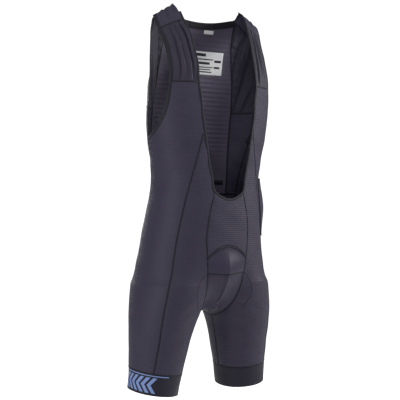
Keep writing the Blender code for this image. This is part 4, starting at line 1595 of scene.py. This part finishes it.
class Garment:
    """Makes every piece of the bib shorts on the frame.

    Attributes:
        cut: The cutting plan.
        cloth: Sizes of the cloth.
        shaders: The finishes.
        figure: The figure that the plan lies on.
    """

    def __init__(self, cut: Cut, cloth: Cloth, shaders: Shaders) -> None:
        """Takes the plan, the sizes and the finishes."""
        self.cut, self.cloth, self.shaders = cut, cloth, shaders
        self.figure = cut.figure

    def declare(self, thing: bpy.types.Object, finish: str, *nodes: str) -> bpy.types.Object:
        """Sets a piece on the frame in place of its nodes.

        Args:
            thing: The piece.
            finish: Key of its finish; not used.
            nodes: The nodes that it stands for.

        Returns:
            The piece.
        """
        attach(thing, "root")
        if nodes:
            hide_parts(*nodes)
        return thing

    def sheet(self, grid: Array) -> None:
        """Works out a piece's flat size from its undisturbed grid, and keeps none of it.

        Args:
            grid: Its points before folds are laid in it.
        """
        across = np.linalg.norm(np.diff(grid, axis=1), axis=-1).sum(1).max()
        down = np.linalg.norm(np.diff(grid, axis=0), axis=-1).sum(0).max()
        a, b = grid[1:, 1:] - grid[:-1, :-1], grid[1:, :-1] - grid[:-1, 1:]
        area = float(np.linalg.norm(np.cross(a, b), axis=-1).sum() / 2)
        across, down = max(float(across), LEAST_FLAT), max(float(down), LEAST_FLAT)
        area = min(area, across * down)
        down = min(down, area / (LEAST_SHARE * across))

    def shell(
        self, name: str, grid: Array, finish: str, lift: Callable | None = None,
        wall: float | Callable | None = None, side: int = 1, closed: bool = False,
        pitch: float | None = None, held: str = "stretched",
        raised: float = 0.0, gap: float | None = None,
    ) -> bpy.types.Object:
        """A panel as a thin shell.

        Args:
            name: The node that it replaces, and its own name.
            grid: The panel's points on the left half, or on both for a centre piece.
            finish: Key of its finish.
            lift: Height over the figure for shares down and across the panel.
            wall: Thickness, as one value or worked out by a function of the shares.
            side: 1 for the wearer's left and -1 for the right.
            closed: Whether its columns run round to the first one.
            pitch: Distance between its points.
            held: How the cloth is held.
            raised: Height over the figure of the whole panel.
            gap: How far its edges are drawn in.

        Returns:
            The panel's object.
        """
        if closed:
            grid = np.concatenate([grid, grid[:, :1]], axis=1)
        fine = refined(grid, pitch or self.cloth.pitch)
        if closed:
            fine = fine[:, :-1]
        free = held in ("gathered", "draped", "hung")
        fine = fine if free else self.settled(fine)
        edge = trimmed(fine, self.cloth.gap if gap is None else gap, closed)
        rows, columns = edge.shape[:2]
        v, u = np.meshgrid(np.linspace(0, 1, rows), np.linspace(0, 1, columns), indexing="ij")
        height = raised + creased(edge) * (1.0 if raised >= 0 else self.cloth.inner_crease)
        if lift is not None:
            height = height + lift(v, u, edge * (side, 1, 1))
        thick = wall(v, u) if callable(wall) else np.full(v.shape, wall or self.cloth.wall)
        if free:
            normal = _unit(np.cross(np.gradient(edge, axis=1), np.gradient(edge, axis=0)))
        else:
            normal = self.figure.outward(edge)
        outside = edge + normal * height[..., None]
        inside = outside - normal * thick[..., None]
        across, down = lengths(edge)
        if closed:
            across = self.figure.turn_of(edge[0], BAND_ROWS[0]) * self.cloth.leg_radius
        uv = np.stack(np.broadcast_arrays(across[None, :], down[:, None]), -1).reshape(-1, 2)
        piece = Piece(f"cloth_{name}", finish)
        points = np.concatenate([outside.reshape(-1, 3), inside.reshape(-1, 3)])
        piece.add(points, shell_quads(rows, columns, closed), np.concatenate([uv, uv]))
        thing = piece.build(self.shaders.material(finish), side)
        self.declare(thing, finish, name)
        if finish == "pad":
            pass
        elif held:
            self.sheet(fine)
        return thing

    def settled(self, point: Array) -> Array:
        """Points moved onto the figure, but for those near the ridge of the shoulders, where they stay."""
        share = _ramp(-point[..., 2], *SHOULDER_DEPTHS)[..., None]
        return point + (self.figure.settle(point) - point) * share

    def line_points(self, line: Array, pitch: float = 0.004) -> Array:
        """A finer line through points of the figure."""
        pair = np.stack([line, line + (0, 0, 1e-3)], 1)
        return self.settled(refined(pair, pitch)[:, 0])

    def ribbon(
        self, piece: Piece, line: Array, width: float, wall: float, height: float,
        opening: Array | None = None, closed: bool = False, both: bool = False,
    ) -> None:
        """Adds a flat strip along a line of the figure: a seam, a stitch line or a folded binding.

        Args:
            piece: The mesh it is added to.
            line: Points of the line.
            width: Width of the strip.
            wall: Its thickness.
            height: Height of its middle over the figure.
            opening: A point that a binding is turned towards, away from the cloth.
            closed: Whether the line runs round to its start.
            both: Whether the other half of the body has one as well.
        """
        fine = self.line_points(np.concatenate([line, line[:1]]) if closed else line)
        fine = fine[:-1] if closed else fine
        along = np.roll(fine, -1, 0) - np.roll(fine, 1, 0) if closed else np.gradient(fine, axis=0)
        normal = self.figure.outward(fine)
        away = _unit(np.cross(_unit(along), normal))
        shift = 0.0
        if opening is not None:
            away = away * (-1.0 if ((opening - fine) * away).sum() < 0 else 1.0)
            shift = width / 2 - self.cloth.binding_hold
        base = fine + normal * (height + creased(fine))[:, None] + away * shift
        profile = oval_profile(width, wall)
        rings = np.stack([base + away * a + normal * b for a, b in profile], 1)
        step = np.linalg.norm(np.diff(fine, axis=0), axis=-1)
        run = np.concatenate([[0], np.cumsum(step)])
        uv = np.stack(np.broadcast_arrays(run[:, None], np.array([a for a, _ in profile])[None, :]), -1)
        quads = tube_quads(len(fine), len(profile), closed)
        for side in (1, -1) if both else (1,):
            turned = quads if side == 1 else quads[:, ::-1]
            piece.add(rings.reshape(-1, 3) * (side, 1, 1), turned, uv.reshape(-1, 2))

    def make_panels(self) -> dict[str, Array]:
        """Makes all the panels.

        Returns:
            The grids that the seams run along.
        """
        cut, cloth = self.cut, self.cloth
        side = cut.side()
        thigh, back = cut.thigh(side), cut.back_leg(side)
        strap, back_side = cut.strap(side), cut.back_side()
        panel = cut.back_panel(strap)
        band = cut.band(thigh, side, back)
        front, upper, gusset = cut.centre()
        first, last = cut.yoke_front + 1, cut.yoke_back + 1
        strap_front, yoke, mesh = strap[: first + 1], strap[first : last + 1], strap[last:]
        for name, turn in SIDES:
            self.shell(f"side_{name}", side, "knit", side=turn)
            self.shell(f"front_thigh_{name}", thigh, "knit", side=turn)
            self.shell(f"back_leg_{name}", back, "knit", side=turn)
            band_finish = "band" if turn < 0 else "plain_band"
            self.shell(f"leg_band_{name}", band, band_finish, side=turn, closed=True)
            self.shell(f"strap_front_{name}", strap_front, "mesh", self.gathers, side=turn,
                       pitch=cloth.strap_pitch, held="gathered")
            self.shell(f"shoulder_yoke_{name}", yoke, "knit", self.yoke_folds, side=turn,
                       pitch=cloth.fine_pitch, held="draped")
            self.shell(f"back_mesh_{name}", mesh, "mesh", self.slack_folds, side=turn,
                       pitch=cloth.mesh_pitch, held="hung")
            self.shell(f"back_side_{name}", back_side, "knit", side=turn)
        self.shell("back_panel", panel, "back", self.ripples, pitch=cloth.mesh_pitch)
        self.shell("centre_front", front, "knit")
        for name, grid, lift, wall in (
            ("cup_upper", upper, self.upper_swell, self.upper_wall),
            ("gusset", gusset, self.lower_swell, self.lower_wall),
        ):
            self.shell(name, grid, "pad", lift, wall, pitch=cloth.fine_pitch, gap=cloth.pad_gap)
        return {"side": side, "thigh": thigh, "back": back, "strap": strap, "back_side": back_side,
                "panel": panel, "band": band, "front": front, "upper": upper, "gusset": gusset}

    @staticmethod
    def window(v: Array, u: Array) -> Array:
        """1 in the middle of a panel and 0 on its edges."""
        return np.sqrt((np.sin(np.pi * u) * np.sin(np.pi * v)).clip(0))

    def gathers(self, v: Array, u: Array, point: Array) -> Array:
        """Gathers down the front strap: uneven ridges that part and close, deepest near the yoke.

        Args:
            v: Share of the way down the panel.
            u: Share of the way across it.
            point: The places themselves, in metres; not used.

        Returns:
            Heights over the figure.
        """
        bend = u + 0.045 * np.sin(4.2 * v + 0.6) * (1 - u) + 0.05 * v * np.sin(np.pi * u)
        ridge = sum(wave.lift(v, bend) for wave in GATHER_WAVES)
        deep = -1.7 * np.exp(-(((u - 0.17 - 0.05 * v) / 0.040) ** 2))
        return self.window(v, u) * self.cloth.gather * (0.55 * ridge + deep) * (0.60 + 0.40 * v)

    def yoke_folds(self, v: Array, u: Array, point: Array) -> Array:
        """Folds that run on over the shoulder.

        Args:
            v: Share of the way down the panel.
            u: Share of the way across it.
            point: The places themselves, in metres; not used.

        Returns:
            Heights over the figure.
        """
        ridge = sum(wave.lift(v, u) for wave in YOKE_WAVES)
        return self.window(v, u) * self.cloth.yoke_fold * ridge

    def slack_folds(self, v: Array, u: Array, point: Array) -> Array:
        """Slanting folds of the slack mesh behind the armhole, which run down and inwards.

        Args:
            v: Share of the way down the panel.
            u: Share of the way across it.
            point: The places themselves, in metres; not used.

        Returns:
            Heights over the figure.
        """
        phase = 1.9 * u + 2.1 * v + 0.16 * np.sin(5.1 * v + 2.0 * u)
        ridge = sum(wave.lift(0.0, phase) for wave in SLACK_WAVES)
        small = SLACK_CRIMP.lift(v, u) * np.exp(-((u - 0.1) / 0.2) ** 2)
        return self.window(v, u) * self.cloth.slack * (0.75 * ridge + small)

    def ripples(self, v: Array, u: Array, point: Array) -> Array:
        """Level ripples in the back panel, which fade towards its foot.

        Args:
            v: Share of the way down the panel.
            u: Share of the way across it.
            point: The places themselves, in metres.

        Returns:
            Heights over the figure.
        """
        z = point[..., 2]
        bend = 0.0016 * np.sin(21 * point[..., 0] + 9 * z)
        wave = np.sin(2 * np.pi * (z + bend) / self.cloth.ripple_pitch)
        uneven = 0.75 + 0.25 * np.sin(61 * z + 13 * point[..., 0])
        return self.window(v, u) ** 0.5 * self.cloth.ripple * wave * uneven * _ramp(z, -0.42, -0.33)

    def upper_swell(self, v: Array, u: Array, point: Array) -> Array:
        """The upper cup stands out, with a soft ridge down its middle."""
        return self.ridge(u) * _ramp(v, 0.0, 1.0)

    def lower_swell(self, v: Array, u: Array, point: Array) -> Array:
        """The lower cup carries the ridge on and sinks back under the crotch."""
        return self.ridge(u) * (1 - _ramp(v, 0.0, 0.60))

    def ridge(self, u: Array) -> Array:
        """Height of the pad's ridge across a cup: bulge * (1 - |2u - 1| ** 1.05)."""
        return self.cloth.bulge * (1 - np.abs(2 * u - 1) ** 1.05)

    def filled(self, u: Array, down: Array) -> Array:
        """Thickness of the pad: the cloth's at its edges, and the pad's own inside."""
        share = (np.sin(np.pi * u).clip(0) * down) ** 0.5
        return self.cloth.wall + (self.cloth.pad_wall - self.cloth.wall) * share

    def upper_wall(self, v: Array, u: Array) -> Array:
        """Thickness of the upper cup."""
        return self.filled(u, _ramp(v, 0.0, 0.7))

    def lower_wall(self, v: Array, u: Array) -> Array:
        """Thickness of the gusset."""
        return self.filled(u, 1 - _ramp(v, 0.6, 1.0))

    def pocket_lift(self, v: Array, u: Array, point: Array) -> Array:
        """The slack pocket lies on the flank at its edges and stands out most below its middle."""
        down = np.sin(np.pi * (0.10 + 0.90 * v) ** 1.25).clip(0)
        return self.cloth.pocket_bulge * np.sin(np.pi * u).clip(0) * down

    def make_small(self, grids: dict[str, Array]) -> None:
        """The pocket, the elastic tape, and the labels inside the back.

        Args:
            grids: The panels' grids.
        """
        cloth = self.cloth
        (first, last), (left, right) = POCKET_ROWS, POCKET_COLUMNS
        patch = grids["side"][first : last + 1, left : right + 1]
        off = cloth.frame_wall + cloth.stand_off
        self.shell("hip_pocket_left", patch, "knit", self.pocket_lift, raised=off)
        for name, x_range, z_range, finish, wall in (
            ("back_tape", (-TAPE_HALF, TAPE_HALF), TAPE_Z, "binding", cloth.tape_wall),
            ("care_label", LABEL_X, LABEL_Z, "label", cloth.label_wall),
            ("size_tag", TAG_X, TAG_Z, "label", cloth.label_wall),
        ):
            x, z = np.meshgrid(np.linspace(*x_range, 12), np.linspace(*z_range, 4))
            held = "" if name == "size_tag" else "stretched"
            self.shell(name, self.figure.from_depth(x, z, 1), finish, wall=wall, raised=-off, held=held,
                       gap=0.0, pitch=cloth.label_pitch)
        self.make_marks(-off - cloth.label_wall)

    def make_marks(self, height: float) -> None:
        """Plain blocks and lines on the care panel, with no letters.

        Args:
            height: Height of the panel's inner face over the figure.
        """
        piece = Piece("care_marks", "ink")
        (x0, x1), (z0, z1) = LABEL_X, LABEL_Z
        for share_x, share_z, wide, tall in CARE_MARKS:
            x, z = np.meshgrid(
                np.linspace(x0 + (x1 - x0) * share_x, x0 + (x1 - x0) * (share_x + wide), 6),
                np.linspace(z0 + (z1 - z0) * share_z, z0 + (z1 - z0) * (share_z + tall), 3),
            )
            grid = self.figure.from_depth(x, z, 1)
            normal = self.figure.outward(grid)
            lift = (height + self.cloth.inner_crease * creased(grid) - self.cloth.seam_lift)[..., None]
            outside, inside = grid + normal * lift, grid + normal * (lift - self.cloth.ink_wall)
            points = np.concatenate([outside.reshape(-1, 3), inside.reshape(-1, 3)])
            piece.add(points, shell_quads(*grid.shape[:2], False))
        self.declare(piece.build(self.shaders.material("ink")), "ink")

    def make_seams(self, grids: dict[str, Array]) -> None:
        """Flat seams on both faces of the cloth, the stitch lines of the pad, and a dark tape inside the back
        neckline that is painted shade.

        Args:
            grids: The panels' grids.
        """
        cut, cloth = self.cut, self.cloth
        side, thigh, back, strap = (grids[k] for k in ("side", "thigh", "back", "strap"))
        paired = {
            "front": side[cut.apex :, 0],
            "flank": side[cut.hole_rows - 1 :, -1],
            "centre": thigh[cut.waist - cut.apex : cut.crotch - cut.apex + 1, 0],
            "inseam": thigh[cut.crotch - cut.apex :, 0],
            "gusset": cut.gusset_edge(),
            "bib_top": side[0],
            "yoke_front": strap[cut.yoke_front + 1],
            "yoke_back": strap[cut.yoke_back + 1],
            "mesh_foot": strap[-1],
            "mesh_inner": grids["panel"][:, -1],
            "back_waist": grids["back_side"][-1],
            "seat_waist": back[0],
        }
        single = {
            "back_foot": grids["panel"][-1],
            "seat": back[: cut.seat_end - cut.waist, -1],
        }
        outer, inner = Piece("seams_outer", "seam"), Piece("seams_inner", "seam")
        for name, line in (*paired.items(), *single.items()):
            both = name in paired
            width = cloth.gusset_seam if name == "gusset" else cloth.seam_width
            self.ribbon(outer, line, width, cloth.seam_wall, cloth.seam_lift, both=both)
            under = -cloth.wall - cloth.seam_lift
            self.ribbon(inner, line, cloth.inner_seam, cloth.seam_wall, under, both=both)
        ring = np.concatenate([grids["band"][0], grids["band"][0][:1]])
        self.ribbon(outer, ring, cloth.pad_seam, cloth.seam_wall, 0.0, both=True)
        arch = grids["upper"][0]
        self.ribbon(outer, arch, cloth.pad_seam, cloth.arch_wall, 3 * cloth.seam_lift)
        second = self.figure.settle(arch + (0, 0, cloth.second_row))
        self.ribbon(outer, second, cloth.second_seam, cloth.seam_wall, cloth.seam_lift)
        # A dark tape below the back neckline, inside: painted shade for the shadow that the neck edge casts
        # on the inside of the back.
        width, wall, drop = cloth.facing
        facing = self.figure.settle(grids["panel"][0] - (0, 0, drop), 2)
        self.ribbon(inner, facing, width, wall, -cloth.wall - 0.8 * wall)
        stitch = self.figure.settle(np.array([(x, PAD_START, z) for x, z in PAD_OUTLINE]), 12)
        self.ribbon(outer, stitch, *cloth.stitch_line, 0.0, both=True)
        self.declare(outer.build(self.shaders.material("seam")), "seam")
        self.declare(inner.build(self.shaders.material("seam")), "seam")
        self.make_cup_seam(grids["gusset"][0])

    def make_cup_seam(self, line: Array) -> None:
        """The level seam across the pad, which follows its ridge.

        Args:
            line: Points of the seam on the figure.
        """
        fine = self.line_points(line, self.cloth.fine_pitch)
        u = np.linspace(0, 1, len(fine))
        height = self.upper_swell(np.ones_like(u), u, fine) + creased(fine)
        normal = self.figure.outward(fine)
        base = fine + normal * height[:, None]
        along = _unit(np.gradient(base, axis=0))
        away = _unit(np.cross(along, normal))
        profile = oval_profile(*self.cloth.cup_seam)
        rings = np.stack([base + away * a + normal * b for a, b in profile], 1)
        piece = Piece("cup_seam", "seam")
        piece.add(rings.reshape(-1, 3), tube_quads(len(fine), len(profile), False))
        self.declare(piece.build(self.shaders.material("seam")), "seam")

    def make_bindings(self, grids: dict[str, Array]) -> None:
        """The folded edges of the neckline and of the armholes.

        Args:
            grids: The panels' grids.
        """
        cut, cloth = self.cut, self.cloth
        side, thigh, strap, panel = (grids[k] for k in ("side", "thigh", "strap", "panel"))
        inner, outer = strap[:, 0], strap[:, -1]
        top = cut.yoke_front + 2
        down = np.concatenate([inner[top:0:-1], side[: cut.apex, 0], thigh[: cut.waist - cut.apex, 0]])
        front = np.concatenate([down * (-1, 1, 1), grids["front"][0], down[::-1]])
        back = np.concatenate([
            inner[top + 1 : cut.yoke_back + 1] * (-1, 1, 1), panel[0], inner[cut.yoke_back : top : -1],
        ])
        hole = np.concatenate([
            outer[top:0:-1], side[: cut.hole_rows, -1], grids["back_side"][: cut.back_hole_rows, -1][::-1],
            outer[-2:top:-1],
        ])
        middle = -cloth.wall / 2
        scoop, neck, armhole = (0.0, -0.05, -0.20), (0.0, 0.0, 0.05), (0.16, -0.02, -0.20)
        for name, line, opening, closed, turn in (
            ("neck_binding_front", front, scoop, False, 1),
            ("neck_binding_back", back, neck, False, 1),
            *((f"armhole_binding_{side_name}", hole, armhole, True, turn) for side_name, turn in SIDES),
        ):
            piece = Piece(f"trim_{name}", "binding")
            width = cloth.binding_width * (cloth.armhole_share if closed else 1.0)
            self.ribbon(piece, line, width, cloth.binding_wall, middle, np.array(opening), closed)
            self.declare(piece.build(self.shaders.material("binding"), turn), "binding", name)

    def build(self) -> None:
        """Makes the garment."""
        grids = self.make_panels()
        self.make_small(grids)
        self.make_seams(grids)
        self.make_bindings(grids)


def main() -> None:
    """Builds the garment and the studio."""
    Garment(Cut(Figure(TORSO, LEG)), Cloth(), Shaders()).build()
    Studio().build()


if __name__ == "__main__":
    main()
